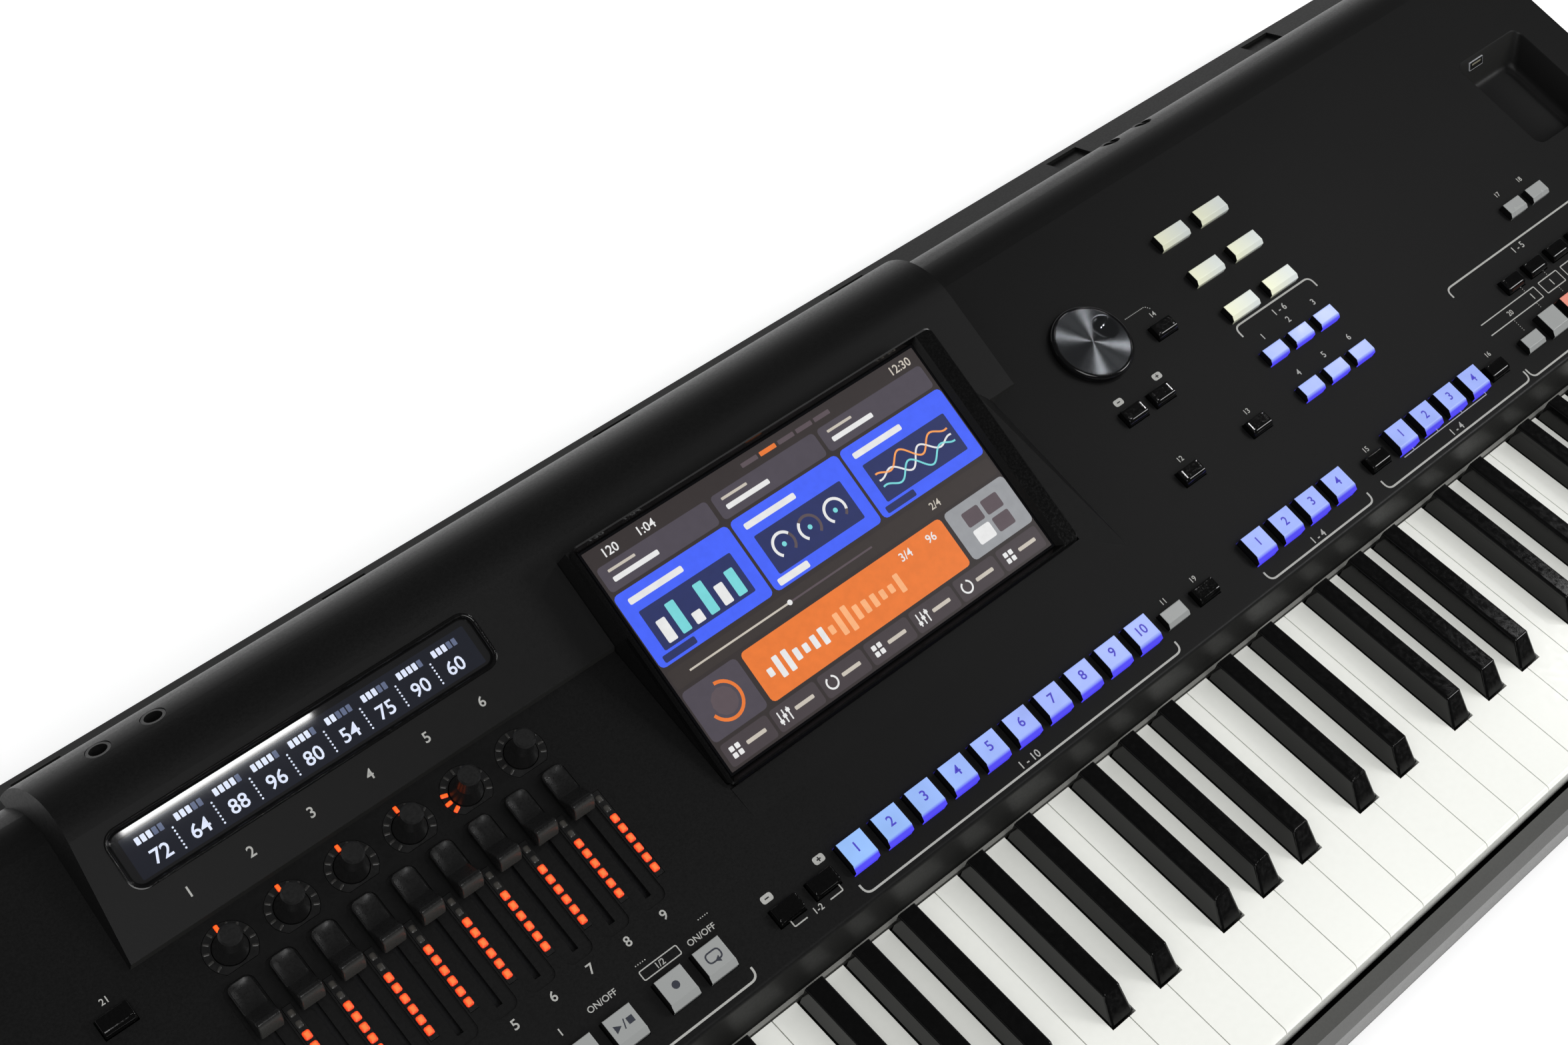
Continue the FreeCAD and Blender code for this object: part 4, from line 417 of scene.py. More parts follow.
def lit_button(name, first, second, start, stop, rim, low, high):
    """A button lit from inside: one colour turning into another along X, a deep rim at its foot and black
    glossy sides."""
    f = Finish(name, 0.2)
    tone = f.noise(70.0, 2.0)
    body = f.blend(f.spread(f.at("X"), 0.0, 1.0, start, stop), first, second)
    body = f.blend(f.spread(f.above_panel(), 1.0, 0.0, low, high), body, rim)
    side = f.sides()
    f.colour(f.blend(side, (0.02, 0.02, 0.05, 1.0), (0.004, 0.004, 0.005, 1.0)))
    f.glow(body, f.math("MULTIPLY", f.math("SUBTRACT", 1.0, side), f.spread(tone, 0.86, 0.98, 0.3, 0.7)))
    f.feed(f.shader.inputs["Roughness"], f.spread(tone, 0.16, 0.24, 0.3, 0.7))
    return f.material


def gate_button(name, warm, cool):
    """White lit buttons: warm on the left and cool on the right of each, with painted shade darkening the
    rear row, and black glossy sides."""
    first_left, pitch = 0.2817, 0.030
    f = Finish(name, 0.22)
    tone = f.noise(90.0, 2.0)
    share = f.math("FRACT", f.math("DIVIDE", f.math("SUBTRACT", f.at("X"), first_left), pitch))
    body = f.blend(f.spread(share, 0.0, 1.0, 0.2, 0.75), warm, cool)
    # Painted shade: the rear row is blended a fifth of the way to dark grey, for the lesser light it gets.
    body = f.blend(f.spread(f.at("Y"), 0.0, 0.2, 0.07, 0.1), body, (0.1, 0.1, 0.1, 1.0))
    side = f.sides()
    f.colour(f.blend(side, body, GLOSS_BLACK))
    f.glow(body, f.math("MULTIPLY", f.math("SUBTRACT", 1.0, side), f.spread(tone, 0.05, 0.08, 0.3, 0.7)))
    return f.material


def grey_button(name, grey, lit):
    """Unlit milky buttons with black glossy sides; the second of the part buttons is lit."""
    lit_middle, lit_reach = 0.4595, 0.0085
    f = Finish(name, 0.25)
    tone = f.noise(90.0, 2.0)
    away = f.math("ABSOLUTE", f.math("SUBTRACT", f.at("X"), lit_middle))
    here = f.math("LESS_THAN", away, lit_reach)
    shade = f.blend(here, grey, lit)
    side = f.sides()
    f.colour(f.blend(side, shade, GLOSS_BLACK))
    f.glow(shade, f.math("MULTIPLY", here, f.math("MULTIPLY", f.math("SUBTRACT", 1.0, side), 0.35)))
    f.feed(f.shader.inputs["Roughness"], f.spread(tone, 0.2, 0.3, 0.3, 0.7))
    return f.material


def printed(name):
    """Ink: each mark has its own colour, a little uneven."""
    f = Finish(name, 0.45)
    tint = f.node("ShaderNodeAttribute", [("attribute_name", "tint")]).outputs["Color"]
    f.colour(f.blend(f.spread(f.noise(500.0), 0.0, 0.12, 0.35, 0.65), tint, (0.05, 0.05, 0.05, 1.0)))
    return f.material


def shining(name, roughness):
    """Light from behind: each mark shines in its own colour, with a faint change of strength."""
    f = Finish(name, roughness)
    tint = f.node("ShaderNodeAttribute", [("attribute_name", "tint")]).outputs["Color"]
    f.colour((0.01, 0.01, 0.01, 1.0))
    f.glow(tint, f.spread(f.noise(240.0), 0.94, 1.02, 0.3, 0.7))
    return f.material


finishes = {
    # The case's front colour is painted light on faces turned to the player, such as the rear wall of the
    # recess.
    "case_plastic": moulded("charcoal_case", linear(11, 11, 11), linear(16, 16, 16), 0.42, specular=0.25,
                            front=linear(37, 37, 36)),
    "rail_plastic": moulded("grey_rail", linear(66, 66, 64), linear(76, 76, 74), 0.4),
    "bezel_plastic": moulded("gloss_bezel", linear(6, 6, 6), linear(9, 9, 9), 0.12, depth=0.000005),
    "display_glass": moulded("dark_glass", linear(6, 6, 8), linear(9, 9, 11), 0.08, depth=0.000002),
    "module_metal": moulded("module_sheet", linear(120, 120, 122), linear(140, 140, 142), 0.4),
    "lamp_plastic": moulded("smoked_lamp_strip", linear(12, 12, 12), linear(17, 17, 17), 0.35),
    "pot_plastic": moulded("control_body", linear(18, 18, 20), linear(28, 28, 30), 0.5),
    "board": moulded("green_board", linear(18, 62, 38), linear(28, 78, 48), 0.45),
    "supply_metal": moulded("supply_can", linear(140, 142, 145), linear(160, 162, 165), 0.4),
    "socket_plastic": moulded("socket_black", linear(14, 14, 14), linear(22, 22, 22), 0.38),
    "frame_metal": moulded("key_frame_steel", linear(120, 122, 126), linear(140, 142, 146), 0.4),
    "felt": moulded("grey_felt", linear(126, 126, 122), linear(150, 150, 145), 0.95, 2500.0, 0.0003),
    "foot_rubber": moulded("foot_rubber", linear(16, 16, 16), linear(24, 24, 24), 0.75),
    "screw_steel": moulded("screw_black_steel", linear(40, 40, 42), linear(56, 56, 58), 0.35),
    "white_key": moulded("white_key", linear(236, 237, 231), linear(240, 241, 235), 0.22, 300.0, 0.00001),
    "black_key": moulded("black_key", linear(6, 6, 6), linear(9, 9, 9), 0.12, 500.0, 0.000004, 0.35),
    # The caps' front colour is painted light on their front faces.
    "slider_plastic": moulded("slider_cap", linear(15, 15, 15), linear(20, 20, 20), 0.3, depth=0.000006,
                              front=linear(54, 54, 52)),
    "knob_plastic": moulded("knob", linear(15, 15, 15), linear(21, 21, 21), 0.38),
    "dial_plastic": moulded("gloss_dial_rim", linear(8, 8, 9), linear(12, 12, 13), 0.1, depth=0.00001),
    "stick_plastic": moulded("joystick", linear(14, 14, 14), linear(20, 20, 20), 0.35),
    "blue_button": lit_button("blue_button", linear(154, 196, 254), linear(164, 184, 254), -0.06, 0.04,
                              linear(80, 70, 250), 0.0034, 0.0044),
    "white_button": gate_button("white_button", linear(226, 228, 200), linear(208, 214, 210)),
    "grey_button": grey_button("grey_button", linear(148, 150, 149), linear(196, 122, 106)),
    "black_button": moulded("black_button", linear(4, 4, 4), linear(7, 7, 7), 0.08, depth=0.000004),
}
ink = printed("panel_ink")
lamp_light = shining("lamp_light", 0.3)
screen_light = shining("screen_light", 0.28)
display_light = shining("display_light", 0.03)

small_blue = lit_button("small_blue_button", linear(164, 184, 254), linear(172, 190, 254), 0.28, 0.34,
                        linear(80, 70, 250), 0.0022, 0.0034)

# Every CAD node takes the finish of its slot in the record, but for the low lit buttons
for entry in frame["record"]["subparts"]:
    obj = nodes[entry["node"]]
    obj.data.materials.clear()
    low = entry["node"] == "assignable_buttons"
    obj.data.materials.append(small_blue if low else finishes[entry["material_slot"]])


# Print on the panel and the hood

PALE = linear(168, 168, 164)
DARK = linear(24, 24, 26)
VIOLET = linear(66, 56, 200)
SLATE = linear(44, 48, 60)


# Brackets that open upwards below a row of buttons, and downwards above one: left, right, edge and legs
BRACKETS_BELOW = ((-486, -132.4, 4.2, 5.2), (-72, 128.2, 3.6, 5.3), (192.2, 271, 3.6, 5.5),
                  (282.5, 401.4, 3.6, 5.8), (403.5, 526, 3.5, 6.0))
BRACKETS_ABOVE = ((284.9, 344.1, 116.2, 6.6), (404.9, 560, 68.0, 5.9))

# Single marks: X, row, text and height
LABELS = ((30, 7.0, "1 - 10", 3.9), (231, 6.8, "1 - 4", 3.9), (342, 7.0, "1 - 4", 3.9),
          (315, 111.0, "1 - 6", 3.9), (464, 64.0, "1 - 5", 3.9), (138.8, 26.9, "11", 2.9),
          (203.3, 77.4, "12", 2.9), (253.1, 77.4, "13", 2.9), (253.6, 146.2, "14", 2.9),
          (290, 26.4, "15", 2.9), (392.8, 27.6, "16", 2.9), (482, 94.2, "17", 2.9),
          (502, 94.2, "18", 2.9), (160, 26.9, "19", 2.9), (445, 37.9, "1", 4.0),
          (425, 37.9, "20", 3.0), (-211, 35, "1", 3.4), (-190, 35, "ON/OFF", 2.9),
          (-140, 32.4, "ON/OFF", 2.9), (-343, 150, "21", 2.9), (-343, 97.5, "22", 2.9))

# Dotted lines: start, end and number of dots
DOTTED = (((-170.2, 38), (-165.4, 38), 5), ((-137, 38), (-132.2, 38), 5),
          ((238.8, 151.9), (252.0, 151.9), 13), ((253.2, 151.4), (254.8, 149.6), 3),
          ((443.6, 45.4), (443.6, 42.8), 3), ((463.9, 45.6), (463.9, 42.9), 3),
          ((443.5, 33.4), (443.5, 30.8), 3), ((423, 33.0), (423, 26.3), 6),
          ((463.2, 33.0), (463.2, 30.6), 3))


def panel_print():
    """Numbers, brackets, boxes and dotted lines in pale ink on the panel."""
    bold, thin, hair = 1.0, 0.6, 0.5
    m = Marks(PANEL)
    for n, x in enumerate(SLIDERS):
        m.word(str(n + 1), x, 48.2, 4.6, PALE)
    for brackets, way in ((BRACKETS_BELOW, 1), (BRACKETS_ABOVE, -1)):
        for left, right, edge, legs in brackets:
            tip = edge + way * legs
            m.line(bent([(left, tip), (left, edge), (right, edge), (right, tip)], 4.0), bold, PALE)
    m.line(bent([(-106.1, 14.4), (-106.1, 11.4), (-99.2, 11.4)], 0.6), thin, PALE)
    m.line(bent([(-86.2, 11.4), (-79.0, 11.4), (-79.0, 14.4)], 0.6), thin, PALE)
    m.word("1-2", -92.7, 11.6, 3.0, PALE)
    m.line([(304, 11.5), (372.2, 11.5)], hair, PALE)
    for x in (312.1, 331.8, 351.8, 372.2):
        m.line([(x, 11.5), (x, 14.3)], hair, PALE)
    part_low, part_high = 34.1, 41.7
    m.line(bent([(404, part_high), (450.3, part_high), (450.3, part_low), (404, part_low)], 0.5), thin, PALE)
    for n in range(3):
        left, middle, right = 454.6 + 20 * n, 462.6 + 20 * n, 470.6 + 20 * n
        box = [(middle, part_high), (left, part_high), (left, part_low), (right, part_low),
               (right, part_high), (middle, part_high)]
        m.line(bent(box, 0.5), thin, PALE)
        m.word(str(n + 1), middle, 37.9, 4.0, PALE)
    for x, row, text, tall in LABELS:
        m.word(text, x, row, tall, PALE)
    for n, x in enumerate(STYLES):
        m.word(str(n + 1), x, 33.4, 3.4, PALE)
    for n in range(3):
        m.word(str(n + 1), 294.2 + 20 * n, 104.0, 3.6, PALE)
        m.word(str(n + 4), 294.2 + 20 * n, 78.2, 3.6, PALE)
    box = [(-161, 35.3), (-170.8, 35.3), (-170.8, 31.0), (-151.4, 31.0), (-151.4, 35.3), (-161, 35.3)]
    m.line(bent(box, 0.8), hair, PALE)
    m.word("1/2", -161.1, 33.2, 2.8, PALE)
    for x, row, sign in ((-107.8, 28.0, "-"), (-78.5, 28.0, "+"), (199.9, 118.3, "-"), (228.1, 118.3, "+")):
        m.tile(x, row, 5.8, 3.7, 1.2, PALE)
        m.tile(x, row, 2.2, 0.6, 0.1, DARK, 0.08)
        if sign == "+":
            m.tile(x, row, 0.6, 2.2, 0.1, DARK, 0.09)
    for start, end, count in DOTTED:
        m.dots(start, end, count, 0.55, PALE)
    m.piece("panel_print", "case", "case_plastic", ink)
    m = Marks(HOOD)
    for n, x in enumerate(np.linspace(-294.4, -152.3, 6)):
        m.word(str(n + 1), x, 11.6, 4.8, PALE)
    m.piece("hood_print", "case", "case_plastic", ink)


def button_marks():
    """Numbers on the lit buttons and plain signs on the style buttons, each riding on its own group."""
    m = Marks(PANEL)
    for n, x in enumerate(REGISTRATION):
        m.word(str(n + 1), x, FRONT_ROW, 5.0, VIOLET, BUTTON_TOP)
    m.piece("registration_numbers", "registration_buttons", "blue_button", ink)
    m = Marks(PANEL)
    for n, (one_touch, pad) in enumerate(zip(ONE_TOUCH, PADS)):
        m.word(str(n + 1), one_touch, FRONT_ROW, 4.8, VIOLET, BUTTON_TOP)
        m.word(str(n + 1), pad, FRONT_ROW, 4.8, VIOLET, BUTTON_TOP)
    m.piece("pad_numbers", "pad_buttons", "blue_button", ink)
    m = Marks(PANEL)
    m.tile(-163.3, 21.6, 3.6, 3.6, 1.8, SLATE, BUTTON_TOP)
    loop = [(-143.4, 19.4), (-146.8, 19.4), (-146.8, 23.8), (-139.8, 23.8), (-139.8, 19.4), (-141.6, 19.4)]
    m.line(bent(loop, 2.0), 0.7, SLATE, BUTTON_TOP)
    m.add(np.array([(-144.0, 19.4), (-141.6, 17.9), (-141.6, 20.9)]), [[0, 1, 2]], BUTTON_TOP + 0.01, SLATE)
    m.add(np.array([(-194.6, 23.4), (-194.6, 19.8), (-191.4, 21.6)]), [[0, 1, 2]], BUTTON_TOP, SLATE)
    m.line([(-190.6, 19.6), (-189.2, 23.6)], 0.5, SLATE, BUTTON_TOP)
    m.tile(-186.8, 21.6, 3.0, 3.0, 0.1, SLATE, BUTTON_TOP)
    m.tile(-210, 21.6, 3.4, 3.4, 1.7, SLATE, BUTTON_TOP)
    m.piece("style_signs", "style_buttons", "grey_button", ink)


def slider_lamps():
    """Eight lamps beside each slider, six of them lit: small lens blocks, bright in the middle. The two unlit
    ones glow faintly grey, lighter towards the top, as painted light.
    """
    rings = ((0, 0.02), (0.1, 0.3), (0.45, 0.5), (1.15, 0.55))
    lit = np.array([linear(250, 48, 10), linear(255, 60, 16), linear(255, 88, 32), linear(255, 134, 66)])
    # Painted light: the unlit lamps glow faintly in these greys, lighter towards the top.
    unlit_painted_glow = np.array([linear(20, 20, 19), linear(28, 27, 25), linear(40, 38, 35), linear(48, 46, 42)])
    beside, first_row, spacing = 10, 66.5, 5.33
    for name, rows, size, tints in (("slider_lamps", range(6), (3.4, 4.0), lit),
                                    ("unlit_lamps_painted_glow", (6, 7), (2.8, 3.4), unlit_painted_glow)):
        x, s = np.meshgrid(SLIDERS + beside, first_row + spacing * np.array(rows), indexing="ij")
        points, faces = lenses(PANEL, np.stack([x.ravel(), s.ravel()], -1), size, 0.9, rings)
        tint = np.broadcast_to(tints[None, :, None], (*points.shape[:3], 4))
        mesh_piece(name, points, faces, "case", lamp_light, tint, smooth=True)


def knob_lamps():
    """Eleven lamps in a ring round each knob, clockwise from the front left; a few are lit and broader. The
    unlit ones glow faintly grey, lighter towards the top, as painted light.
    """
    angle = np.broadcast_to(np.radians(-120 + 24 * np.arange(11)), (6, 11))
    on = np.zeros((6, 11), bool)
    on[:4, 5] = True
    on[4, :3] = True
    rings = ((0, 0.02), (0.08, 0.2), (0.4, 0.36))
    lit = np.array([linear(250, 50, 8), linear(255, 70, 14), linear(255, 112, 34)])
    # Painted light: the unlit ticks glow faintly in these greys, lighter towards the top.
    unlit_painted_glow = np.array([linear(18, 18, 17), linear(25, 24, 23), linear(32, 31, 29)])
    middle = KNOBS[:, None] + np.zeros(11)
    reach = 9.5
    for name, pick, size, tints in (("knob_lamps", on, (1.9, 3.3), lit), ("unlit_ticks_painted_glow", ~on, (1.2, 2.8), unlit_painted_glow)):
        turns = angle[pick]
        places = np.stack([middle[pick] + reach * np.sin(turns), KNOB_ROW + reach * np.cos(turns)], -1)
        points, faces = lenses(PANEL, places, size, 0.5, rings, -turns)
        tint = np.broadcast_to(tints[None, :, None], (*points.shape[:3], 4))
        mesh_piece(name, points, faces, "case", lamp_light, tint, smooth=True)


# Pictures of the two displays

def screen_picture():
    """A plain page for the touch screen: a status row, a band of grey tiles, three blue tiles with gauges and
    bars, an orange tile and a row of simple signs along the bottom."""
    white, cream = linear(232, 232, 232), linear(200, 192, 180)
    base, band, blue = linear(46, 39, 39), linear(74, 68, 78), linear(66, 98, 250)
    deep, orange, grey = linear(34, 44, 96), linear(233, 120, 48), linear(150, 152, 156)
    low, teal, ember = linear(88, 76, 82), linear(120, 214, 218), linear(250, 160, 84)
    m = Marks(SCREEN)
    m.tile(0, 0, 198, 113.6, 0.4, base, 0.03)
    m.word("120", -86, 52.3, 4.4, white)
    m.word("1:04", -66, 52.3, 4.4, white)
    m.word("12:30", 88, 52.3, 4.4, cream)
    for n in range(5):
        m.tile(-6 + 11 * n, 52.3, 9.5, 2.2, 0.3, orange if n == 1 else low)
    for x, width in ((-66.5, 62), (-2, 62), (64, 66)):
        m.tile(x, 41.8, width, 12.4, 2.0, band, 0.04)
        m.tile(x - width / 2 + 12, 44.6, 15, 1.3, 0.4, cream, 0.06)
        m.tile(x - width / 2 + 17, 40.2, 25, 2.4, 0.6, white, 0.06)
    for x in (-66.2, 0, 66.2):
        m.tile(x, 15.2, 64.6, 37.6, 2.6, blue, 0.04)
        m.tile(x, 12.6, 52, 20.5, 0.8, deep, 0.05)
        m.tile(x - 12, 28.4, 30, 3.0, 0.8, white, 0.06)
        m.tile(x - 20, -0.6, 18, 3.4, 0.8, white if x == 0 else deep, 0.06)
    for n in range(6):
        x = -86 + 8 * n
        tall = 5 + 11 * abs(math.sin(1.3 * n + 0.6))
        m.tile(x, 4 + tall / 2, 5, tall, 0.6, teal if n % 2 else white, 0.06)
    for n, share in enumerate((0.7, 0.35, 0.9)):
        middle = (-15.5 + 15.5 * n, 12.6)
        m.line(arc(middle, 5.6, -140, 140), 1.4, low, 0.06)
        m.line(arc(middle, 5.6, -140, -140 + 280 * share), 1.4, white, 0.07)
        m.tile(*middle, 2.4, 2.4, 1.2, teal, 0.07)
    wave = np.linspace(-1, 1, 60)
    for lift, tint in ((0, white), (3.4, ember), (-3.4, teal)):
        path = np.stack([66.2 + 23 * wave, 12.6 + lift + 4.2 * np.sin(7 * wave + lift) * (1 - wave ** 2)], -1)
        m.line(path, 0.9, tint, 0.06)
    m.tile(0, -10.4, 196, 9.0, 1.4, linear(52, 45, 43), 0.04)
    m.line([(-88, -10.4), (20, -10.4)], 0.9, low, 0.06)
    m.line([(-88, -10.4), (-30, -10.4)], 0.9, cream, 0.07)
    m.tile(-30, -10.4, 2.6, 2.6, 1.3, white, 0.08)
    m.word("2/4", 60, -10.4, 3.6, cream)
    m.tile(-82.6, -29.6, 31, 26, 2.4, band, 0.04)
    m.tile(-82.6, -29.6, 13, 13, 6.5, low, 0.05)
    m.line(arc((-82.6, -29.6), 8.6, 0, 250), 1.6, orange, 0.06)
    m.tile(-3.5, -29.6, 122, 26, 2.4, orange, 0.04)
    for n in range(16):
        tall = 4 + 9 * abs(math.sin(0.9 * n) * math.cos(0.37 * n))
        m.tile(-57 + 5.2 * n, -31, 3.0, tall, 0.5, white if n < 7 else linear(250, 178, 124), 0.06)
    m.word("3/4", 32, -22, 4.2, white)
    m.word("96", 48, -22, 4.2, white)
    m.tile(79.4, -29.6, 39, 26, 2.4, grey, 0.04)
    for n in range(4):
        m.tile(70 + 12.4 * (n % 2) + 3, -25 - 9.6 * (n // 2), 10.4, 7.6, 1.0, white if n == 2 else low, 0.06)
    for n in range(7):
        x = -84 + 28 * n
        m.tile(x, -50, 26.4, 11.2, 1.6, linear(66, 58, 62), 0.04)
        m.tile(x + 4, -50, 11, 1.8, 0.5, cream, 0.06)
        if n % 3 == 0:
            for k in range(4):
                m.tile(x - 9 + 3.2 * (k % 2), -48.4 - 3.2 * (k // 2), 2.4, 2.4, 0.4, white, 0.06)
        elif n % 3 == 1:
            for k in range(3):
                m.tile(x - 10 + 2.6 * k, -50, 0.7, 6.4, 0.2, white, 0.06)
                m.tile(x - 10 + 2.6 * k, -51.5 + 1.6 * k, 2.0, 1.6, 0.3, white, 0.07)
        else:
            m.line(arc((x - 7.4, -50), 2.9, 20, 330), 0.9, white, 0.06)
    m.piece("screen_page", "case", "display_glass", screen_light)


def display_picture():
    """The long display: nine columns with a small level bar and a number, dotted lines between them."""
    pale, base, faint = linear(226, 234, 255), linear(19, 22, 33), linear(96, 106, 134)
    middle, row = LONG_DISPLAY
    glass = -1.58
    m = Marks(HOOD)
    m.tile(middle, row, 172.8, 22.8, 4.4, linear(7, 7, 9), glass)
    m.tile(middle, row - 0.8, 166, 18.6, 0.6, base, glass + 0.02)
    for n, value in enumerate((72, 64, 88, 96, 80, 54, 75, 90, 60)):
        x = -294.5 + 17.8 * n
        m.word(str(value), x, 30.6, 6.4, pale, glass + 0.04)
        for k in range(5):
            m.tile(x - 5.2 + 2.6 * k, 39.4, 2.0, 3.2, 0.3, pale if k < value // 20 else faint, glass + 0.04)
        if n:
            m.dots((x - 8.9, 27.0), (x - 8.9, 36.6), 7, 0.9, pale, glass + 0.04)
    m.piece("display_page", "case", "display_glass", display_light)


def display_frame():
    """A gloss frame round the long display: rounded rectangles, each drawn in and lowered from a lip on the
    hood down to the glass."""
    rings = ((-1.0, 0.02), (-0.9, 0.2), (-0.5, 0.32), (0.1, 0.28), (0.5, 0.05), (0.9, -0.6), (1.2, -1.3),
             (1.7, -1.56))
    outline = np.stack([rounded(176 - 2 * i, 26 - 2 * i, 6 - i, 9) for i, h in rings]) + LONG_DISPLAY
    heights = np.array([h for i, h in rings])[:, None]
    points = put_on(HOOD, outline[..., 0], outline[..., 1], heights)
    quads = grid_faces(len(rings), outline.shape[1], True)
    mesh_piece("display_frame", points, [quads], "case", finishes["bezel_plastic"],
               smooth=True)


# Slider caps

def slider_caps():
    """Slider caps: a low rear pad, a ramp, a rounded ridge and a front that bulges as a quadratic arc,
    carried across. The pad is dished by a parabola both ways, and near both sides the rear is drawn in by the
    arc of the rear corners."""
    half, edge, rear_corner, dish_depth = 5.5, 1.1, 3.0, 0.9
    rear, ramp, pad_middle, pad_reach = 126, 112, 119.3, 6.2
    t = np.linspace(0, 1, 16)[:, None]
    top, bulge, foot = np.array([(104.2, 11.0), (101.6, 9.2), (101, 3)])
    front = (1 - t) ** 2 * top + 2 * t * (1 - t) * bulge + t ** 2 * foot
    outline = bent([(ramp, 1.6), (rear, 1.6), (rear, 4.4), (112.6, 4.4), (105.4, 11.1), (104.2, 11.0)], 0.8)
    outline = np.concatenate([outline[:-1], front, [(101.8, 1.6), (ramp, 1.6)]])
    across, along, up, faces = carried(outline, half, edge)
    dish = np.clip(1 - (across / 4.7) ** 2, 0, 1) * np.clip(1 - ((along - pad_middle) / pad_reach) ** 2, 0, 1)
    up = up - dish_depth * (1 - (1 - dish) ** 2) * (up > 3.0)
    past = np.clip(np.abs(across) - half + rear_corner, 0, rear_corner)
    end = rear - (rear_corner - np.sqrt(rear_corner ** 2 - past ** 2))
    along = np.where(along > ramp, ramp + (along - ramp) * (end - ramp) / (rear - ramp), along)
    for number, x in enumerate(SLIDERS):
        name = f"slider_{number + 1}"
        piece = mesh_piece(f"{name}_cap", put_on(PANEL, x + across, along, up), faces, name,
                           finishes["slider_plastic"], smooth=True)
        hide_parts(name)


def black_buttons():
    """The gloss black buttons: a side outline with a sloped front and rounded edges, carried across each."""
    places = [(-104.4, 18.5), (-84.4, 18.5), (159.3, 18.5), (289.1, 18.5), (388.4, 18.5), (201.2, 108.7),
              (221.2, 108.7), (251.4, 136.6), (201.2, 68.2), (251.4, 68.2), (-343.3, 140.5), (-343.3, 88.0),
              (-566.0, 172.0)] + [(440.5 + 20 * n, 49.8) for n in range(5)]
    corners = [(0, -5.5), (4.25, -5.5), (4.25, 3.6), (-2.6, 3.5), (-4.25, 1.6), (-4.25, -5.5), (0, -5.5)]
    across, along, up, faces = carried(bent(corners, 0.9), 7.0, 0.8, 96)
    middle = np.array(places)[:, :, None, None]
    points = put_on(PANEL, middle[:, 0] + across, middle[:, 1] + along, up)
    count = points[0].size // 3
    many = [np.concatenate([f + k * count for k in range(len(places))]) for f in faces]
    piece = mesh_piece("black_button_caps", points, many, "utility_buttons",
                       finishes["black_button"], smooth=True)
    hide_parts("utility_buttons")


def recess_liner():
    """The recess at the right: rounded rectangles drawn in towards the floor, more at the right and the back,
    closed by a flat floor; a flat socket stands on the leaning rear wall, its mouth a near-black tile of
    painted shade with a pale tongue. Each ring is given by how far it is drawn in at the left, right, front
    and rear, and by its height."""
    width, depth, corner, middle = 57, 66, 6, np.array([561.5, 136])
    rings = np.array([(0, 0, 0, 0, 0.02), (0.2, 0.3, 0.2, 0.3, -0.2), (0.3, 0.6, 0.3, 0.9, -0.8),
                      (0.5, 5.8, 0.5, 8.6, -13.4), (0.8, 6.6, 0.8, 9.6, -15.2), (1.8, 8.0, 1.8, 11.2, -16.4),
                      (3.6, 10.0, 3.6, 13.4, -16.9)])
    up = rings[:, 4, None]
    outline = np.stack([rounded(width - a - b, depth - c - e, corner + 0.2 * b, 8)
                        + middle + [(a - b) / 2, (c - e) / 2] for a, b, c, e, _ in rings])
    edge = outline.shape[1]
    floor_face = np.arange(edge)[None] + (len(rings) - 1) * edge
    walls = grid_faces(len(rings), edge, True)
    mesh_piece("recess_liner", put_on(PANEL, outline[..., 0], outline[..., 1], up), [walls, floor_face],
               "case", finishes["case_plastic"], smooth=True)
    points, faces = lenses(RECESS, [(0, 0)], (12.6, 5.4), 0.5, ((0, 0.0), (0.05, 0.5), (0.25, 0.7)))
    mesh_piece("recess_socket", points, faces, "case", finishes["supply_metal"], smooth=True)
    m = Marks(RECESS)
    # Painted shade: a near-black tile stands for the shaded mouth of the socket; the pale tile is its tongue.
    m.tile(0, 0.1, 11.6, 4.4, 0.3, linear(10, 10, 10), 0.74)
    m.tile(0, 0.7, 8.0, 1.1, 0.2, linear(120, 116, 100), 0.78)
    m.piece("recess_socket_shade_and_tongue", "case", "socket_plastic", ink)


# Data dial

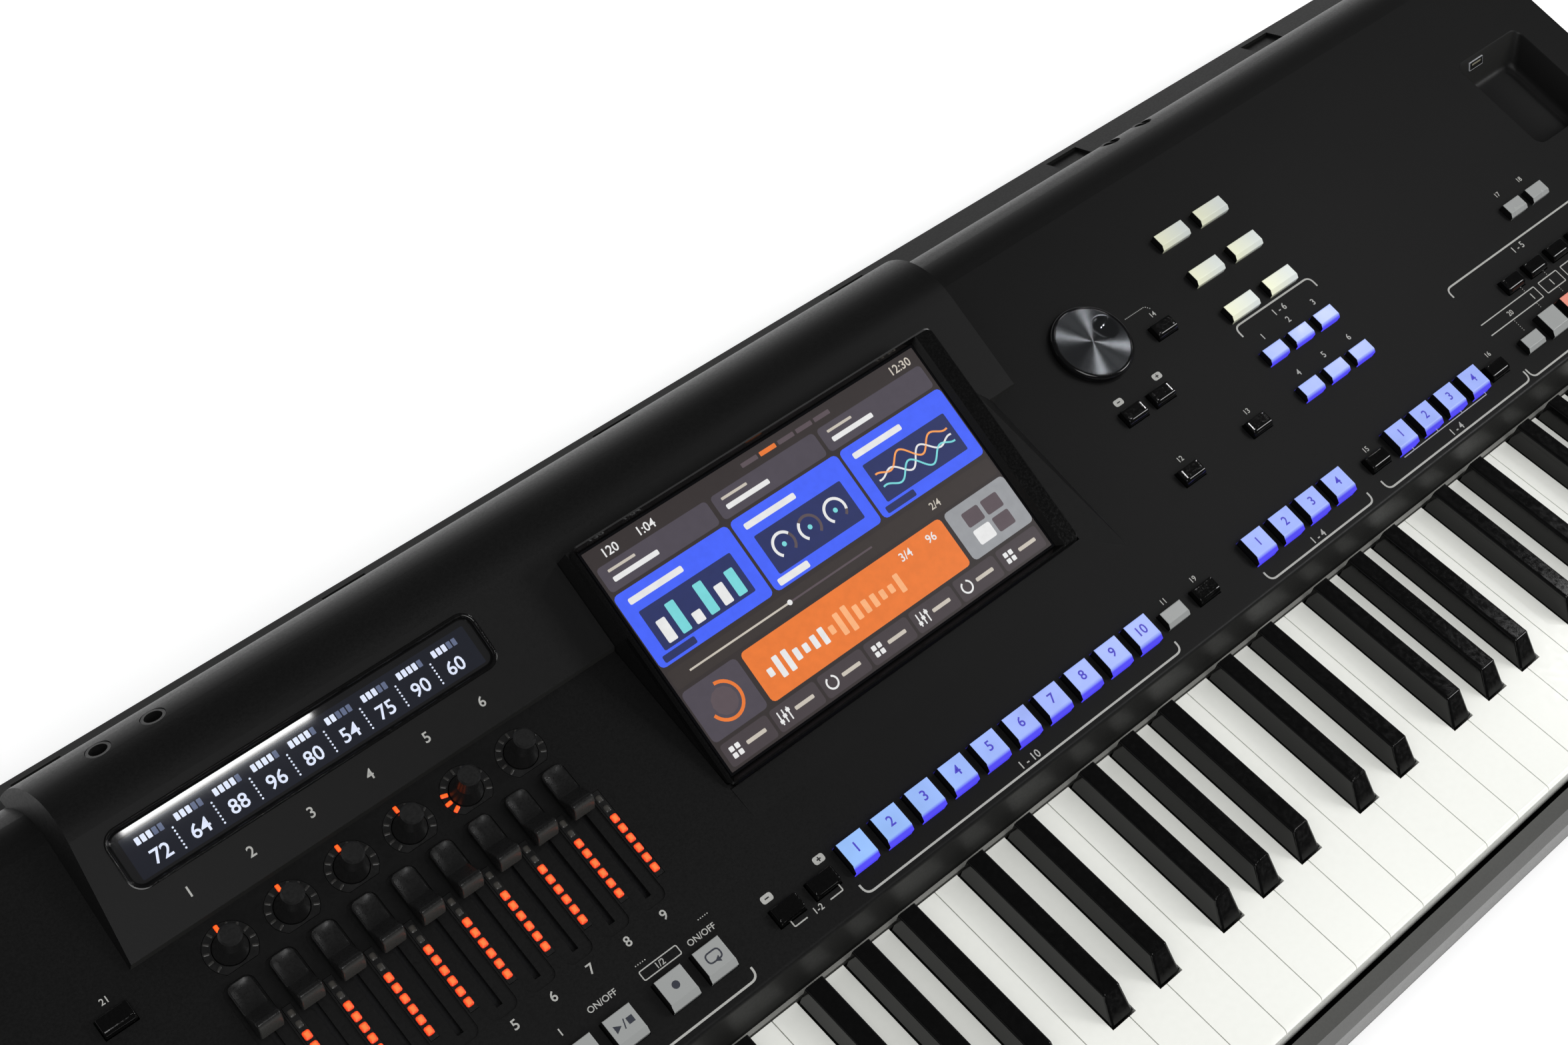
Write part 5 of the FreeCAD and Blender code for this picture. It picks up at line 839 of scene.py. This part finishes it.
def data_dial():
    """A turned dial: radius and height carried round its axis. The spun face has a round finger dimple, a
    shallow bowl whose depth falls with the square of the distance from the bowl's middle."""
    steps = 144
    angle = np.radians(np.arange(steps) * 360 / steps)

    def turned(profile):
        r, n = np.array(profile, float).T
        u = DIAL[0] + r[:, None] * np.cos(angle)
        v = DIAL[1] + r[:, None] * np.sin(angle)
        return u, v, np.broadcast_to(n[:, None], u.shape)

    rim = [(3, 0.6), (21.7, 0.6), (21.9, 0.7), (22, 0.95), (22, 1.6), (21.95, 2.2), (21.75, 2.9),
           (21.35, 3.55), (20.8, 4.0), (20.2, 4.18), (19.8, 4.14), (19.55, 4.02), (19.4, 3.86)]
    u, v, n = turned(rim)
    quads = grid_faces(len(rim), steps, True)
    bottom = np.arange(steps)[::-1][None]
    piece = mesh_piece("dial_rim", put_on(PANEL, u, v, n), [quads, bottom], "data_dial",
                       finishes["dial_plastic"], smooth=True)
    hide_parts("data_dial")

    face_radius, face_height = 19.45, 3.88
    bowl_place, bowl_radius, bowl_depth = (11.7, 3.0), 6.8, 1.3
    radii = np.concatenate([np.linspace(face_radius, 0.9, 46), [0.2]])
    u, v, n = turned(np.stack([radii, np.full(len(radii), face_height)], -1))
    away = np.hypot(u - DIAL[0] - bowl_place[0], v - DIAL[1] - bowl_place[1]) / bowl_radius
    bowl = np.clip(1 - away ** 2, 0, 1)
    quads = grid_faces(len(radii), steps, True)
    column = np.tile(np.arange(steps), len(radii) - 1)
    row = np.repeat(np.arange(len(radii) - 1), steps)
    side = np.stack([np.stack([column, column + 1, column + 1, column], -1) / steps,
                     radii[np.stack([row, row, row + 1, row + 1], -1)] / 20], -1)
    middle = np.arange(steps) + (len(radii) - 1) * steps
    uv = np.concatenate([side.reshape(-1, 2), np.stack([np.arange(steps) / steps, np.full(steps, 0.01)], -1)])
    mask = np.clip(bowl * 6, 0, 1)
    tint = np.stack([mask, mask, mask, np.ones_like(mask)], -1)
    f = Finish("spun_dial_face", 0.19, 0.5, metallic=1.0)
    bowl_share = f.node("ShaderNodeAttribute", [("attribute_name", "tint")]).outputs["Fac"]
    turn_map = f.node("ShaderNodeUVMap", [("uv_map", "UVMap")]).outputs["UV"]
    rings = f.node("ShaderNodeMapping", Vector=turn_map, Scale=(6.0, 900.0, 1.0)).outputs["Vector"]
    fine = f.node("ShaderNodeTexNoise", Vector=rings, Scale=1.0, Detail=1.0).outputs["Fac"]
    f.colour(f.blend(f.spread(fine, 0.0, 1.0, 0.3, 0.7), linear(116, 119, 123), linear(136, 139, 143)))
    f.feed(f.shader.inputs["Roughness"], f.spread(bowl_share, 0.19, 0.06))
    f.shader.inputs["Anisotropic"].default_value = 0.97
    f.shader.inputs["Anisotropic Rotation"].default_value = 0.25
    round_way = f.node("ShaderNodeTangent", [("direction_type", "UV_MAP"), ("uv_map", "UVMap")])
    f.feed(f.shader.inputs["Tangent"], round_way.outputs["Tangent"])
    mesh_piece("dial_face", put_on(PANEL, u, v, n - bowl_depth * bowl), [quads, middle[None]], "data_dial",
               f.material, tint.reshape(-1, 4), uv, smooth=True)


panel_print()
button_marks()
slider_lamps()
knob_lamps()
screen_picture()
display_picture()
display_frame()
slider_caps()
black_buttons()
recess_liner()
data_dial()


# Studio

def studio_world():
    """Plain ambient light for surfaces, white where the camera looks past the floor, and for gloss a
    studio that is bright near the horizon behind the part and dark elsewhere."""
    world = bpy.data.worlds.new("studio")
    scene.world = world
    world.use_nodes = True
    tree = world.node_tree
    tree.nodes.clear()
    join = tree.links.new

    def add(kind, settings=(), **inputs):
        return add_node(tree, kind, settings, **inputs)

    way = add("ShaderNodeSeparateXYZ", Vector=add("ShaderNodeTexCoord").outputs["Generated"])
    lift = add("ShaderNodeMapRange", [("interpolation_type", "SMOOTHSTEP")], Value=way.outputs["Z"],
               From_Min=0.02, From_Max=0.42, To_Min=1.0, To_Max=0.0)
    behind = add("ShaderNodeMapRange", [("interpolation_type", "SMOOTHSTEP")], Value=way.outputs["Y"],
                 From_Min=-0.1, From_Max=0.4, To_Min=0.0, To_Max=0.95)
    bright = add("ShaderNodeMath", [("operation", "MULTIPLY_ADD")])
    join(lift.outputs["Result"], bright.inputs[0])
    join(behind.outputs["Result"], bright.inputs[1])
    bright.inputs[2].default_value = 0.05
    path = add("ShaderNodeLightPath")
    seen = add("ShaderNodeBackground", Color=(1, 1, 1, 1), Strength=bright.outputs["Value"])
    plain = add("ShaderNodeBackground", Color=(1, 1, 1, 1), Strength=1.0)
    ambient = add("ShaderNodeBackground", Color=(1, 1, 1, 1), Strength=0.74)
    gloss = add("ShaderNodeMixShader")
    join(path.outputs["Is Glossy Ray"], gloss.inputs[0])
    join(ambient.outputs[0], gloss.inputs[1])
    join(seen.outputs[0], gloss.inputs[2])
    open_way = add("ShaderNodeMath", [("operation", "MAXIMUM")])
    join(path.outputs["Is Camera Ray"], open_way.inputs[0])
    join(path.outputs["Is Transmission Ray"], open_way.inputs[1])
    both = add("ShaderNodeMixShader")
    join(open_way.outputs[0], both.inputs[0])
    join(gloss.outputs[0], both.inputs[1])
    join(plain.outputs[0], both.inputs[2])
    out = add("ShaderNodeOutputWorld")
    join(both.outputs[0], out.inputs["Surface"])


def area_light(name, place, target, size, power):
    """A soft lamp at a place, turned to a target, its first side as nearly along X as it can be."""
    light = bpy.data.lights.new(name, "AREA")
    light.shape = "RECTANGLE"
    light.size, light.size_y = size
    light.energy = power
    obj = bpy.data.objects.new(name, light)
    scene.collection.objects.link(obj)
    back = (Vector(place) - Vector(target)).normalized()
    side = (Vector((1, 0, 0)) - back * back.x).normalized()
    axes = Matrix((side, back.cross(side), back)).transposed()
    obj.matrix_world = Matrix.Translation(place) @ axes.to_4x4()


studio_world()

# Places in metres. The key and the fill light the part, the two small lamps draw the bright wedges on the
# spun dial, and the strip is mirrored in the long display.
PART_MIDDLE = (0.1, 0.0, 0.05)
DIAL_MIDDLE = (0.21, 0.08, 0.11)
area_light("soft_key", (-0.7, -1.6, 2.7), PART_MIDDLE, (1.5, 1.5), 26)
area_light("soft_fill", (2.2, -1.3, 1.75), PART_MIDDLE, (0.8, 0.8), 18)
area_light("small_light", (2.003, 0.137, 1.998), DIAL_MIDDLE, (0.1, 0.1), 1.2)
area_light("second_light", (1.579, -0.013, 2.324), DIAL_MIDDLE, (0.1, 0.1), 1.2)
area_light("strip_light", (0.234, -0.511, 2.387), (-0.259, 0.13, 0.13), (0.31, 0.012), 0.45)


def pale_floor():
    """A plain pale floor, short in front so that the gloss of the key fronts stays dark."""
    side, front, rear = 6, -0.9, 6
    mesh = bpy.data.meshes.new("floor")
    corners = [(-side, front, 0), (side, front, 0), (side, rear, 0), (-side, rear, 0)]
    mesh.from_pydata(corners, [], [(0, 1, 2, 3)])
    floor = bpy.data.objects.new("floor", mesh)
    scene.collection.objects.link(floor)
    f = Finish("pale_floor", 0.9, 0.1)
    f.colour((0.95, 0.95, 0.95, 1.0))
    f.glow((1.0, 1.0, 1.0, 1.0), 0.25)
    mesh.materials.append(f.material)
    floor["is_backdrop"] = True


pale_floor()

low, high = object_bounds()
